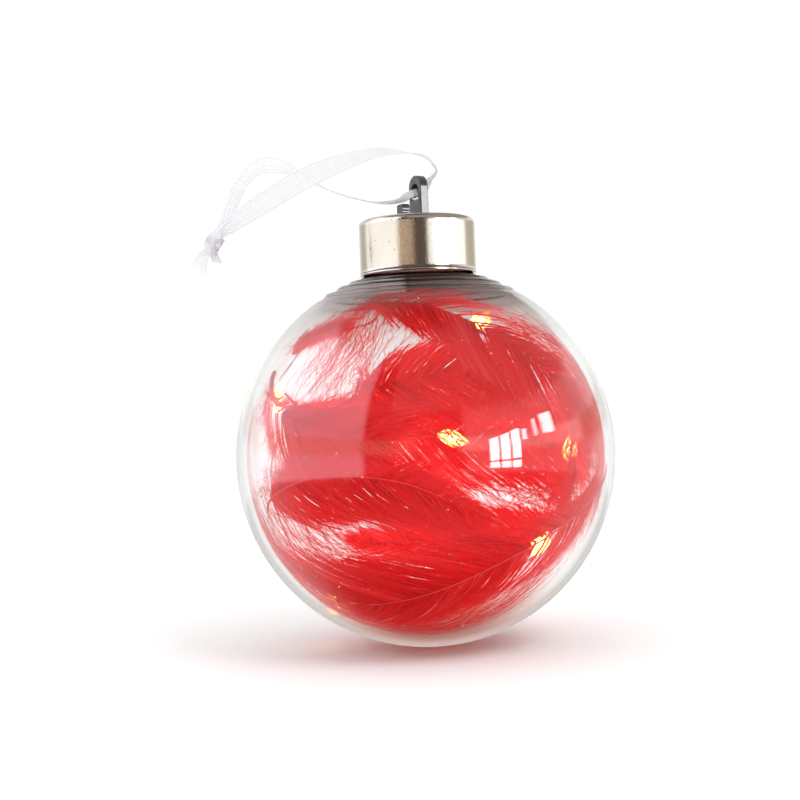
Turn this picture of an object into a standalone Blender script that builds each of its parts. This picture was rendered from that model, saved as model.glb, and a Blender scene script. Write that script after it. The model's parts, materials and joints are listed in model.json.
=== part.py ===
"""Battery-lit clear glass ball ornament, 80 mm, with feathers, a light string and a ribbon.

World origin: the point of the hanging eye's hole that the ribbon pulls on.
+Z runs up along the ball's axis, -Y is the front.  Every size below is in millimetres
and most positions are counted from the centre of the ball; place() moves them to the
world origin and turns them into metres.
"""
import math

import bmesh
import bpy
from mathutils import Matrix, Vector

MM = 0.001
GAP = 0.3

# Glass ball
BALL_R = 40.0
WALL = 1.1
NECK_R = 10.8
NECK_BORE_R = 9.7
NECK_TOP = 44.0
RIPPLE_R = (19.8, 17.2, 14.6)
RIPPLE_STEP = 2.6
RIPPLE_HEIGHT = 0.16
BALL_SIDES = 36

# Plated cap
CAP_R = 12.45
CAP_WALL = 0.7
CAP_BOTTOM = 38.4
CAP_TOP = 50.2
CAP_EDGE_R = 1.3
CAP_OPENING_R = 9.8
CAP_SIDES = 44

# Battery housing
DECK_TOP = 49.2
DECK = 1.0
DECK_R = 11.4
HUB_R = 9.3
HUB_BORE_R = 8.4
HUB_BOTTOM = 39.3
FLANGE_TOP = 46.1
FLANGE_BOTTOM = 45.2

# Hanging eye
EYE_CENTRE = (0.7, 0.4)
EYE_TURN = math.radians(-60.0)
EYE_WIDTH = 5.0
EYE_THICK = 1.9
EYE_TOP = 59.7
EYE_HOLE_WIDTH = 2.8
EYE_HOLE_BOTTOM = 54.6
EYE_HOLE_TOP = 57.9

# Slide switch
KNOB_CENTRE = (-2.65, -2.4)
KNOB = (2.4, 1.8)
KNOB_TOP = 53.3
KNOB_TRAVEL = 2.0

# Feathers: quill and vane of one feather lie in a shell of the given radius
OUTER_SHELL = 37.9
INNER_SHELL = 34.9
VANE = 0.55
QUILL_R = 0.55

# Light string
WIRE_R = 0.3
DROP_LENGTH = 6.6
DROP_R = 1.65
DROP_BORE = 0.65

# Ribbon
RIBBON_WIDTH = 5.0
RIBBON_THICK = 0.25

AXIS_OFFSET = Vector((EYE_CENTRE[0], EYE_CENTRE[1], EYE_HOLE_TOP))


def place(point):
    """Millimetres from the ball's centre to metres from the world origin."""
    return (Vector(point) - AXIS_OFFSET) * MM


def material(name, colour, roughness, metallic=0.0, alpha=1.0):
    mat = bpy.data.materials.new(name)
    mat.use_nodes = True
    shader = mat.node_tree.nodes["Principled BSDF"]
    shader.inputs["Base Color"].default_value = (*colour, 1.0)
    shader.inputs["Roughness"].default_value = roughness
    shader.inputs["Metallic"].default_value = metallic
    shader.inputs["Alpha"].default_value = alpha
    mat.diffuse_color = (*colour, alpha)
    return mat


def solid(name, points, faces, mat, origin=(0.0, 0.0, 0.0)):
    """Closed mesh body; points and origin are in millimetres from the ball's centre."""
    start = place(origin)
    mesh = bpy.data.meshes.new(name)
    mesh.from_pydata([place(p) - start for p in points], [], faces)
    shape = bmesh.new()
    shape.from_mesh(mesh)
    bmesh.ops.recalc_face_normals(shape, faces=shape.faces)
    shape.to_mesh(mesh)
    shape.free()
    mesh.materials.append(mat)
    obj = bpy.data.objects.new(name, mesh)
    obj.location = start
    bpy.context.collection.objects.link(obj)
    return obj


def cutter(name, points, faces):
    obj = solid(name, points, faces, MAT["dark_plastic"])
    obj.hide_render = True
    obj.display_type = "WIRE"
    return obj


def cut(obj, tool):
    step = obj.modifiers.new("cut_" + tool.name, "BOOLEAN")
    step.operation = "DIFFERENCE"
    step.solver = "EXACT"
    step.object = tool


def turned(profile, sides):
    """Points and faces of a closed (radius, height) profile turned round Z."""
    points, rings = [], []
    for radius, height in profile:
        if radius < 1e-6:
            rings.append([len(points)] * sides)
            points.append((0.0, 0.0, height))
            continue
        rings.append([len(points) + k for k in range(sides)])
        for k in range(sides):
            angle = 2 * math.pi * k / sides
            points.append((radius * math.cos(angle), radius * math.sin(angle), height))
    faces = []
    for low, high in zip(rings, rings[1:] + rings[:1]):
        for k in range(sides):
            corners = (low[k], low[k - 1], high[k - 1], high[k])
            face = tuple(dict.fromkeys(corners))
            if len(face) > 2:
                faces.append(face)
    return points, faces


def stacked(profile):
    """Points and faces of a closed (half length, half width, height) rectangle profile."""
    points, faces = [], []
    for half_u, half_v, height in profile:
        for u, v in ((1, 1), (-1, 1), (-1, -1), (1, -1)):
            points.append((u * half_u, v * half_v, height))
    count = len(profile)
    for i in range(count):
        j = (i + 1) % count
        for k in range(4):
            m = (k + 1) % 4
            faces.append((4 * i + k, 4 * i + m, 4 * j + m, 4 * j + k))
    return points, faces


def block(half_u, half_v, low, high):
    points, faces = stacked([(half_u, half_v, low), (half_u, half_v, high)])
    return points, faces[:4] + [(3, 2, 1, 0), (4, 5, 6, 7)]


def moved(points, offset, turn=0.0):
    """Turn points round Z, then shift them."""
    matrix = Matrix.Translation(Vector(offset)) @ Matrix.Rotation(turn, 4, "Z")
    return [matrix @ Vector(p) for p in points]


def aimed(points, centre, direction):
    """Lay points built round Z along a direction through a centre."""
    turn = Vector((0.0, 0.0, 1.0)).rotation_difference(Vector(direction).normalized())
    return [Vector(centre) + turn @ Vector(p) for p in points]


def curve_through(controls, count):
    """Evenly numbered points on a Catmull-Rom curve through the control vectors."""
    knots = [Vector(c) for c in controls]
    knots = [2 * knots[0] - knots[1]] + knots + [2 * knots[-1] - knots[-2]]
    spans = len(knots) - 3
    samples = []
    for i in range(count):
        position = spans * i / (count - 1)
        span = min(int(position), spans - 1)
        t = position - span
        a, b, c, d = knots[span:span + 4]
        samples.append(0.5 * (2 * b + (c - a) * t + (2 * a - 5 * b + 4 * c - d) * t * t
                              + (3 * b - a - 3 * c + d) * t ** 3))
    return samples


def evenly(samples, step):
    """Resample a polyline at about the given spacing."""
    lengths = [0.0]
    for a, b in zip(samples, samples[1:]):
        lengths.append(lengths[-1] + (b - a).length)
    count = max(2, round(lengths[-1] / step) + 1)
    result, k = [], 0
    for i in range(count):
        target = lengths[-1] * i / (count - 1)
        while k < len(samples) - 2 and lengths[k + 1] < target:
            k += 1
        share = (target - lengths[k]) / (lengths[k + 1] - lengths[k])
        result.append(samples[k].lerp(samples[k + 1], share))
    return result


def tube(name, path, radii, mat, ring=1, origin=(0.0, 0.0, 0.0)):
    """Round wire along a path; radii is one number or one per point."""
    start = place(origin)
    curve = bpy.data.curves.new(name, "CURVE")
    curve.dimensions = "3D"
    curve.bevel_depth = MM
    curve.bevel_resolution = ring
    curve.use_fill_caps = True
    spline = curve.splines.new("POLY")
    spline.points.add(len(path) - 1)
    for k, point in enumerate(path):
        spline.points[k].co = (*(place(point) - start), 1.0)
        spline.points[k].radius = radii if isinstance(radii, float) else radii[k]
    curve.materials.append(mat)
    obj = bpy.data.objects.new(name, curve)
    obj.location = start
    bpy.context.collection.objects.link(obj)
    return obj


# ---------------------------------------------------------------- glass ball

def ball_profile():
    """Outer skin from the pole up to the neck's lip, then the inner skin back down."""
    inner_r = BALL_R - WALL
    inner_end = math.asin((NECK_BORE_R + 0.3) / inner_r)
    shoulder = math.asin(23.0 / BALL_R)
    profile = []
    for i in range(21):
        angle = math.pi - (math.pi - shoulder) * i / 20
        profile.append((BALL_R * math.sin(angle), BALL_R * math.cos(angle)))
    profile[0] = (0.0, -BALL_R)
    for radius in RIPPLE_R:
        trough = radius + RIPPLE_STEP / 2
        profile.append(on_ball(trough, BALL_R - RIPPLE_HEIGHT))
        profile.append(on_ball(radius, BALL_R))
    rise = on_ball(NECK_R, BALL_R)[1]
    profile += [on_ball(NECK_R + 1.2, BALL_R - RIPPLE_HEIGHT), (NECK_R + 0.25, rise + 0.4),
                (NECK_R, rise + 1.2), (NECK_R, NECK_TOP - 0.4), (NECK_R - 0.35, NECK_TOP),
                (NECK_BORE_R + 0.35, NECK_TOP), (NECK_BORE_R, NECK_TOP - 0.4),
                (NECK_BORE_R, inner_r * math.cos(inner_end) + 0.6)]
    for i in range(18):
        angle = inner_end + (math.pi - inner_end) * i / 17
        profile.append((inner_r * math.sin(angle), inner_r * math.cos(angle)))
    profile[-1] = (0.0, -inner_r)
    return profile


def on_ball(radius, shell):
    """Point of the profile at a distance from the axis, on a sphere of the given size."""
    return radius, math.sqrt(shell * shell - radius * radius)


def build_ball():
    solid("glass_ball", *turned(ball_profile(), BALL_SIDES), MAT["clear_glass"])


# ---------------------------------------------------------------- cap

def build_cap_sleeve():
    inner = CAP_R - CAP_WALL
    profile = [(CAP_R, CAP_BOTTOM)]
    for i in range(5):
        angle = math.pi / 2 * i / 4
        profile.append((CAP_R - CAP_EDGE_R * (1 - math.cos(angle)),
                        CAP_TOP - CAP_EDGE_R * (1 - math.sin(angle))))
    profile += [(CAP_OPENING_R, CAP_TOP), (CAP_OPENING_R, CAP_TOP - CAP_WALL),
                (inner - 0.6, CAP_TOP - CAP_WALL), (inner - 0.17, CAP_TOP - CAP_WALL - 0.17),
                (inner, CAP_TOP - CAP_WALL - 0.6), (inner, CAP_BOTTOM)]
    solid("cap_sleeve", *turned(profile, CAP_SIDES), MAT["plated_cap"])


def build_housing():
    under = DECK_TOP - DECK
    profile = [(0.0, DECK_TOP), (DECK_R - 0.6, DECK_TOP), (DECK_R - 0.2, DECK_TOP - 0.2),
               (DECK_R, DECK_TOP - 0.6), (DECK_R, under), (HUB_R, under), (HUB_R, FLANGE_TOP),
               (DECK_R, FLANGE_TOP), (DECK_R, FLANGE_BOTTOM), (HUB_R, FLANGE_BOTTOM),
               (HUB_R, HUB_BOTTOM + 0.4), (HUB_R - 0.3, HUB_BOTTOM), (HUB_BORE_R, HUB_BOTTOM),
               (HUB_BORE_R, under), (0.0, under)]
    housing = solid("battery_housing", *turned(profile, 32), MAT["dark_plastic"])
    half_u = (KNOB[0] + KNOB_TRAVEL) / 2 + GAP
    points, faces = block(half_u, KNOB[1] / 2 + GAP, under - 1, DECK_TOP + 1)
    cut(housing, cutter("slot_cutter", moved(points, (*slot_centre(), 0), EYE_TURN), faces))


def slot_centre():
    """Middle of the knob's travel, seen from above."""
    along = Vector((math.cos(EYE_TURN), math.sin(EYE_TURN)))
    return Vector(KNOB_CENTRE) + along * (KNOB_TRAVEL / 2)


def arch(width, low, high, count=16):
    """Outline of an upright arch: square foot, half-round head."""
    radius = width / 2
    loop = [(-radius, low), (radius, low)]
    for i in range(count - 1):
        angle = math.pi * i / (count - 2)
        loop.append((radius * math.cos(angle), high - radius + radius * math.sin(angle)))
    return loop


def build_eye():
    outer = arch(EYE_WIDTH, DECK_TOP + GAP, EYE_TOP)
    inner = arch(EYE_HOLE_WIDTH, EYE_HOLE_BOTTOM, EYE_HOLE_TOP)
    count = len(outer)
    points = [(u, v, z) for v in (-EYE_THICK / 2, EYE_THICK / 2)
              for loop in (outer, inner) for u, z in loop]
    faces = []
    for k in range(count):
        m = (k + 1) % count
        for a, b in ((0, 1), (3, 2), (2, 0), (1, 3)):
            faces.append((a * count + k, a * count + m, b * count + m, b * count + k))
    eye = solid("hanging_eye", moved(points, (*EYE_CENTRE, 0), EYE_TURN), faces, MAT["gloss_black"])
    edge = eye.modifiers.new("edges", "BEVEL")
    edge.width = 0.22 * MM
    edge.segments = 1
    edge.limit_method = "ANGLE"
    edge.angle_limit = math.radians(50)


def build_seal():
    profile = [(NECK_BORE_R - 0.05, NECK_TOP + GAP), (NECK_R + 0.5, NECK_TOP + GAP),
               (NECK_R + 0.5, FLANGE_BOTTOM - GAP), (NECK_BORE_R - 0.05, FLANGE_BOTTOM - GAP)]
    solid("seal_ring", *turned(profile, 32), MAT["clear_silicone"])


def build_switch():
    half_u = (KNOB[0] + KNOB_TRAVEL) / 2
    middle = (*slot_centre(), 0)
    shell = [(half_u + 1.3, 1.9, 46.1), (half_u + 1.3, 1.9, 47.9), (half_u + 0.3, 1.2, 47.9),
             (half_u + 0.3, 1.2, 47.6), (half_u + 1.0, 1.6, 47.6), (half_u + 1.0, 1.6, 46.1)]
    points, faces = stacked(shell)
    solid("switch_shell", moved(points, middle, EYE_TURN), faces, MAT["spring_steel"])
    points, faces = block(half_u + 0.7, 1.3, 45.8, 46.1)
    solid("switch_base", moved(points, middle, EYE_TURN), faces, MAT["board"])
    seat = (*KNOB_CENTRE, KNOB_TOP)
    points, faces = knob_shape()
    solid("switch_knob", moved(points, (*KNOB_CENTRE, 0), EYE_TURN), faces, MAT["gloss_black"], seat)
    points, faces = block(0.9, 0.5, 46.4, 46.6)
    solid("switch_wiper", moved(points, (*KNOB_CENTRE, 0), EYE_TURN), faces, MAT["brass"], seat)


def knob_shape():
    """Upright knob with softened edges and a stepped crown."""
    half_u, half_v = KNOB[0] / 2, KNOB[1] / 2
    points, faces = stacked([(half_u - 0.2, half_v - 0.2, 46.9), (half_u, half_v, 47.1),
                             (half_u, half_v, KNOB_TOP - 1.0), (half_u - 0.25, half_v, KNOB_TOP - 0.8),
                             (half_u - 0.25, half_v, KNOB_TOP - 0.4),
                             (half_u - 0.6, half_v - 0.25, KNOB_TOP)])
    last = len(points) - 4
    return points, faces[:-4] + [(3, 2, 1, 0), (last, last + 1, last + 2, last + 3)]


def build_electrics():
    disc = [(0.0, 44.9), (8.1, 44.9), (8.1, 45.5), (0.0, 45.5)]
    solid("circuit_board", *turned(disc, 32), MAT["board"])
    points, faces = block(0.8, 0.4, 45.8, 46.25)
    solid("resistor", moved(points, (3.6, 3.4, 0)), faces, MAT["gloss_black"])
    cell = [(0.0, 40.9), (7.4, 40.9), (8.0, 41.4), (8.0, 43.9), (7.8, 44.1), (0.0, 44.1)]
    solid("coin_cell", *turned(cell, 32), MAT["battery_steel"])
    build_contact("positive_contact", 44.4, 44.55, 0.0)
    build_contact("negative_contact", 40.42, 40.57, math.radians(90))


def build_contact(name, low, high, turn):
    """Leaf contact: a strip with a waist and broad ends."""
    outline = [(-6.4, -1.5), (-3.0, -1.5), (-2.2, -0.8), (2.2, -0.8), (3.0, -1.5), (6.4, -1.5),
               (6.4, 1.5), (3.0, 1.5), (2.2, 0.8), (-2.2, 0.8), (-3.0, 1.5), (-6.4, 1.5)]
    count = len(outline)
    points = [(x, y, z) for z in (low, high) for x, y in outline]
    faces = [tuple(range(count)), tuple(range(count, 2 * count))]
    faces += [(k, (k + 1) % count, count + (k + 1) % count, count + k) for k in range(count)]
    solid(name, moved(points, (0, 0, 0), turn), faces, MAT["spring_steel"])


LEAD_HOLE = (-4.0, -3.0)


def build_door():
    disc = [(0.0, HUB_BOTTOM + 0.1), (7.7, HUB_BOTTOM + 0.1), (8.1, HUB_BOTTOM + 0.4),
            (8.1, 40.1), (0.0, 40.1)]
    door = solid("battery_door", *turned(disc, 36), MAT["dark_plastic"])
    points, faces = block(5.0, 0.6, HUB_BOTTOM - 0.5, HUB_BOTTOM + 0.5)
    cut(door, cutter("coin_slot_cutter", moved(points, (1.2, 2.2, 0)), faces))
    points, faces = turned([(0.0, 38.0), (1.6, 38.0), (1.6, 41.0), (0.0, 41.0)], 16)
    cut(door, cutter("lead_hole_cutter", moved(points, (*LEAD_HOLE, 0)), faces))
    grommet = [(0.7, 38.8), (1.25, 38.8), (1.25, 40.1), (0.7, 40.1)]
    points, faces = turned(grommet, 16)
    solid("lead_grommet", moved(points, (*LEAD_HOLE, 0)), faces, MAT["clear_silicone"])


# ---------------------------------------------------------------- feathers

def on_sphere(longitude, latitude):
    """Unit vector; longitude 0 faces the front and grows to the right."""
    lon, lat = math.radians(longitude), math.radians(latitude)
    return Vector((math.sin(lon) * math.cos(lat), -math.cos(lon) * math.cos(lat), math.sin(lat)))


def shaft_directions(stops, count):
    """Unit vectors along a feather's shaft through (longitude, latitude) stops."""
    return [v.normalized() for v in curve_through([on_sphere(*s) for s in stops], count)]


def vane_edge(share, width, swell):
    """Half width of a vane at a share of its length; a low swell widens it early."""
    return width * max(0.06, math.sin(math.pi * share ** swell)) ** 0.8


def build_vane(name, shaft, shell, widths, mat):
    """Thin curved plate that follows the ball's inside, wider or narrower on each side."""
    stations, across = len(shaft), 4
    points, faces = [], []
    for i, centre in enumerate(shaft):
        ahead = shaft[min(i + 1, stations - 1)] - shaft[max(i - 1, 0)]
        side = centre.cross(ahead).normalized()
        share = i / (stations - 1)
        for radius in (shell, shell - VANE):
            for k in range(across + 1):
                bias = 2 * k / across - 1
                reach = vane_edge(share, *widths[0 if bias < 0 else 1]) * bias
                angle = reach / shell
                points.append((centre * math.cos(angle) + side * math.sin(angle)) * radius)
    row = across + 1
    for i in range(stations - 1):
        a, b = 2 * row * i, 2 * row * (i + 1)
        for k in range(across):
            faces.append((a + k, a + k + 1, b + k + 1, b + k))
            faces.append((a + row + k, b + row + k, b + row + k + 1, a + row + k + 1))
        for k in (0, across):
            faces.append((a + k, b + k, b + row + k, a + row + k))
    for a in (0, 2 * row * (stations - 1)):
        faces.append(tuple(range(a, a + row)) + tuple(range(a + 2 * row - 1, a + row - 1, -1)))
    solid(name, points, faces, mat)


def build_feather(number, stops, shell, widths, bare=0.16):
    """A quill on the inner side of its vane; the first part of the quill is bare."""
    shaft = shaft_directions(stops, 25)
    first = round(bare * 12) * 2
    build_vane(f"feather_{number}_vane", shaft[first::2], shell, widths, MAT["feather_red"])
    radius = shell - VANE - GAP - QUILL_R
    quill = evenly([v * radius for v in shaft[:-2]], 3.2)
    last = len(quill) - 1
    radii = [QUILL_R * min(0.35 + 3.0 * k / last, 1.0) * (1.0 - 0.7 * k / last) for k in range(last + 1)]
    tube(f"feather_{number}_quill", quill, radii, MAT["quill"])


QUICK, SLOW = 0.62, 1.6
FEATHERS = (
    (((80, -4), (58, -15), (25, -31), (-10, -44), (-46, -46)), OUTER_SHELL, ((15.0, SLOW), (12.5, QUICK))),
    (((-82, -17), (-61, -10), (-36, -4), (-8, -6), (20, -18)), INNER_SHELL, ((15.0, QUICK), (5.5, QUICK))),
    (((-48, 55), (-22, 56), (2, 53), (20, 45), (36, 33), (52, 20), (62, 9)), OUTER_SHELL,
     ((12.5, QUICK), (8.5, QUICK))),
    (((-63, 37), (-48, 42), (-33, 45)), OUTER_SHELL, ((3.0, QUICK), (3.4, QUICK))),
    (((72, 34), (64, 16), (60, 1), (50, -12)), INNER_SHELL, ((8.5, QUICK), (9.5, QUICK))),
    (((-80, 31), (-58, 20), (-38, 11), (-10, 6)), OUTER_SHELL, ((9.5, QUICK), (8.5, SLOW))),
    (((-112, 24), (-140, 12), (180, 6), (135, 2), (108, -2)), OUTER_SHELL, ((15.0, QUICK), (15.0, QUICK))),
    (((100, -26), (128, -34), (170, -38), (-142, -34)), INNER_SHELL, ((9.0, QUICK), (10.0, QUICK))),
    (((-34, 18), (-10, 26), (14, 28), (36, 22)), INNER_SHELL, ((13.0, QUICK), (9.5, QUICK))),
)


# ---------------------------------------------------------------- light string

DROPS = (
    ((-31.3, 2.5, 13.4), (-0.08, 0.14, -0.98)),
    ((-20.5, 3.0, -30.6), (0.62, -0.30, -0.50)),
    ((22.1, -17.0, -17.6), (0.50, 0.10, 0.70)),
    ((30.2, -4.5, 0.1), (0.05, -0.05, 0.95)),
    ((5.4, -26.0, 4.0), (-0.75, -0.05, 0.25)),
    ((12.0, -15.0, 27.1), (0.60, 0.50, 0.45)),
)

LEAD = ((-4.0, -3.0, 40.0), (-4.1, -3.3, 38.2), (-5.0, -6.5, 35.2), (-6.9, -12.9, 30.9))

WIRES = (
    ((-7.3, -13.8, 30.3), (-9.7, -16.6, 27.6), (-15.0, -16.0, 26.2), (-20.8, -10.6, 25.0),
     (-25.0, -4.8, 23.4), (-28.4, -1.0, 20.0)),
    ((-31.9, 3.6, 4.7), (-33.6, 4.6, -1.8), (-32.6, 6.0, -12.0), (-28.4, 6.2, -22.0)),
    ((-8.0, -5.0, -31.0), (8.0, -12.0, -27.5)),
    ((28.2, -10.5, -8.6),),
    ((28.2, -8.5, 8.0), (21.5, -18.5, 10.0), (13.0, -24.6, 6.0)),
    ((-2.0, -26.6, 8.5), (1.0, -24.6, 16.0)),
)


def drop_end(drop, end):
    """Where a wire stops inside a lamp drop: end is -1 at the inlet, +1 at the outlet."""
    centre, direction = Vector(drop[0]), Vector(drop[1]).normalized()
    return [centre + direction * end * (DROP_LENGTH / 2 + extra) for extra in (-0.8, 0.6)]


def build_drop(number, drop):
    half = DROP_LENGTH / 2
    profile = []
    for i in range(7):
        share = i / 6
        swell = math.sin(math.pi * share) ** 0.9 if 0 < i < 6 else 0.0
        profile.append((DROP_BORE + 0.2 + (DROP_R - DROP_BORE - 0.2) * swell, half * (2 * share - 1)))
    profile += [(DROP_BORE, half), (DROP_BORE, -half)]
    points, faces = turned(profile, 10)
    solid(f"led_drop_{number}", aimed(points, *drop), faces, MAT["lamp_epoxy"])
    points, faces = block(0.35, 0.25, -0.6, 0.6)
    solid(f"led_chip_{number}", aimed(points, *drop), faces, MAT["lamp_chip"])


def build_string():
    for k, drop in enumerate(DROPS):
        build_drop(k + 1, drop)
    for k, stops in enumerate(WIRES):
        path = [Vector(s) for s in stops]
        if k > 0:
            path = drop_end(DROPS[k - 1], 1) + path
        path = path + drop_end(DROPS[k], -1)[::-1]
        tube(f"string_wire_{k + 1}", evenly(curve_through(path, 80), 2.2), WIRE_R, MAT["silver_wire"])
    tube("led_lead", evenly(curve_through(LEAD, 40), 1.4), WIRE_R, MAT["silver_wire"])


# ---------------------------------------------------------------- ribbon
# Ribbon stops: position from the world origin, width direction, width.

FRONT_STOPS = (
    ((0.22, 0.12, -1.72), (0, 0, 1), 2.0), ((0.78, 0.45, -1.56), (-0.43, -0.25, 0.87), 2.0),
    ((1.35, 0.78, -1.05), (-0.72, -0.41, 0.56), 2.0), ((1.86, 1.08, 0.0), (-0.87, -0.5, 0), 1.9),
    ((2.4, 1.36, 1.0), (-0.7, 0.3, 0), 1.7), ((3.5, 1.5, 2.0), (-0.35, 0.85, 0.1), 1.9),
    ((3.9, 0.9, 3.3), (0, 1, 0), 2.8), ((1.7, -0.4, 5.7), (0, 1, 0.05), 4.4),
    ((-2.4, -1.6, 6.6), (0, 0.97, 0.22), RIBBON_WIDTH), ((-8.8, -2.6, 6.7), (0.1, 0.8, 0.6), RIBBON_WIDTH),
    ((-17.3, -3.2, 4.3), (-0.25, 0.5, 0.85), 4.9), ((-24.7, -3.2, 1.3), (-0.4, 0.2, 0.9), 4.8),
    ((-32.1, -2.6, -2.5), (-0.5, 0.1, 0.85), 4.6), ((-38.9, -1.6, -6.6), (-0.55, 0.2, 0.8), 3.6),
    ((-42.5, -1.0, -9.1), (-0.6, 0.2, 0.7), 2.0),
)
BACK_STOPS = (
    ((-0.22, -0.12, -1.72), (0, 0, -1), 2.0), ((-1.9, -0.9, -2.3), (-0.1, -0.2, -1), 2.0),
    ((-4.4, -1.0, -3.5), (-0.15, 0.85, -0.25), 2.3), ((-8.0, -0.1, -3.7), (0, 1, 0.05), 3.6),
    ((-11.8, 1.2, -2.8), (0, 1, 0.1), RIBBON_WIDTH), ((-17.8, 2.6, -0.6), (0, 1, 0.1), RIBBON_WIDTH),
    ((-21.8, 3.4, 1.4), (0, 1, 0.25), RIBBON_WIDTH), ((-25.4, 3.6, 3.8), (-0.1, 0.9, 0.4), RIBBON_WIDTH),
    ((-28.7, 3.4, 5.3), (-0.1, 0.7, 0.7), 4.8), ((-32.3, 2.8, 5.9), (-0.1, 0.45, 0.9), 4.2),
    ((-35.9, 2.3, 4.5), (-0.6, 0.35, 0.7), 3.7), ((-38.4, 2.0, 1.5), (-0.9, 0.3, 0.3), 3.3),
    ((-40.2, 1.8, -2.6), (-0.9, 0.3, 0.1), 2.8), ((-42.9, 1.0, -8.0), (-0.8, 0.2, -0.2), 2.0),
)
TAIL_1_STOPS = (((-45.5, -1.2, -12.6), (-0.9, 0.2, 0.3), 2.4), ((-46.9, -1.5, -15.0), (-0.9, 0.2, 0.2), 4.0),
                ((-47.5, -2.0, -17.3), (-0.9, 0.2, -0.1), 4.4))
TAIL_2_STOPS = (((-44.3, 0.9, -12.8), (-0.8, 0.2, -0.2), 2.0), ((-43.7, 1.3, -15.4), (-0.9, 0.2, -0.2), 3.0))
KNOT_FROM = (-43.1, 0.0, -9.2)
KNOT_TO = (-44.9, -0.1, -12.2)


def build_strip(name, stops, count):
    """Flat ribbon of a small thickness whose width turns and narrows along its way."""
    centres = curve_through([s[0] for s in stops], count)
    sides = curve_through([s[1] for s in stops], count)
    widths = curve_through([(s[2], 0, 0) for s in stops], count)
    points, faces = [], []
    for i, centre in enumerate(centres):
        along = (centres[min(i + 1, count - 1)] - centres[max(i - 1, 0)]).normalized()
        side = (sides[i] - along * sides[i].dot(along)).normalized()
        face = along.cross(side) * (RIBBON_THICK / 2)
        reach = side * (widths[i].x / 2)
        for corner in (reach + face, face - reach, -reach - face, reach - face):
            points.append(centre + corner + AXIS_OFFSET)
    for i in range(count - 1):
        for k in range(4):
            m = (k + 1) % 4
            faces.append((4 * i + k, 4 * i + m, 4 * i + 4 + m, 4 * i + 4 + k))
    end = 4 * count - 4
    faces += [(3, 2, 1, 0), (end, end + 1, end + 2, end + 3)]
    solid(name, points, faces, MAT["organza"], tuple(AXIS_OFFSET))


def build_ribbon():
    build_strip("ribbon_front", FRONT_STOPS, 50)
    build_strip("ribbon_back", BACK_STOPS, 42)
    build_strip("ribbon_tail_1", TAIL_1_STOPS, 6)
    build_strip("ribbon_tail_2", TAIL_2_STOPS, 4)
    start, end = Vector(KNOT_FROM) + AXIS_OFFSET, Vector(KNOT_TO) + AXIS_OFFSET
    half = (end - start).length / 2
    profile = [(0.0, -half), (1.0, -half), (1.7, -half * 0.6), (1.5, -half * 0.1), (1.8, half * 0.35),
               (1.0, half), (0.0, half)]
    points, faces = turned(profile, 10)
    points = aimed(points, (start + end) / 2, end - start)
    solid("ribbon_knot", points, faces, MAT["organza"], tuple(AXIS_OFFSET))


for leftover in list(bpy.data.objects):
    bpy.data.objects.remove(leftover, do_unlink=True)

MAT = {
    "clear_glass": material("clear_glass", (0.90, 0.92, 0.92), 0.03, 0.0, 0.3),
    "plated_cap": material("plated_cap", (0.82, 0.76, 0.67), 0.12, 1.0),
    "dark_plastic": material("dark_plastic", (0.05, 0.05, 0.055), 0.35),
    "gloss_black": material("gloss_black", (0.02, 0.02, 0.025), 0.12),
    "clear_silicone": material("clear_silicone", (0.75, 0.75, 0.72), 0.4),
    "spring_steel": material("spring_steel", (0.70, 0.68, 0.62), 0.3, 1.0),
    "battery_steel": material("battery_steel", (0.78, 0.78, 0.77), 0.25, 1.0),
    "board": material("board", (0.05, 0.25, 0.10), 0.5),
    "brass": material("brass", (0.80, 0.62, 0.30), 0.3, 1.0),
    "feather_red": material("feather_red", (0.72, 0.02, 0.025), 0.7),
    "quill": material("quill", (0.45, 0.02, 0.03), 0.4),
    "silver_wire": material("silver_wire", (0.80, 0.79, 0.77), 0.25, 1.0),
    "lamp_epoxy": material("lamp_epoxy", (1.0, 0.90, 0.62), 0.15),
    "lamp_chip": material("lamp_chip", (1.0, 0.80, 0.40), 0.4),
    "organza": material("organza", (0.95, 0.95, 0.96), 0.6),
}

build_ball()
build_cap_sleeve()
build_housing()
build_eye()
build_seal()
build_switch()
build_electrics()
build_door()
for index, (stops, shell, widths) in enumerate(FEATHERS):
    build_feather(index + 1, stops, shell, widths)
build_string()
build_ribbon()
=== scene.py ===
"""Looks of the lit glass ball ornament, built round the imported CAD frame."""
import json
import math

import bmesh
import bpy
import numpy as np
from mathutils import Matrix, Vector

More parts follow.
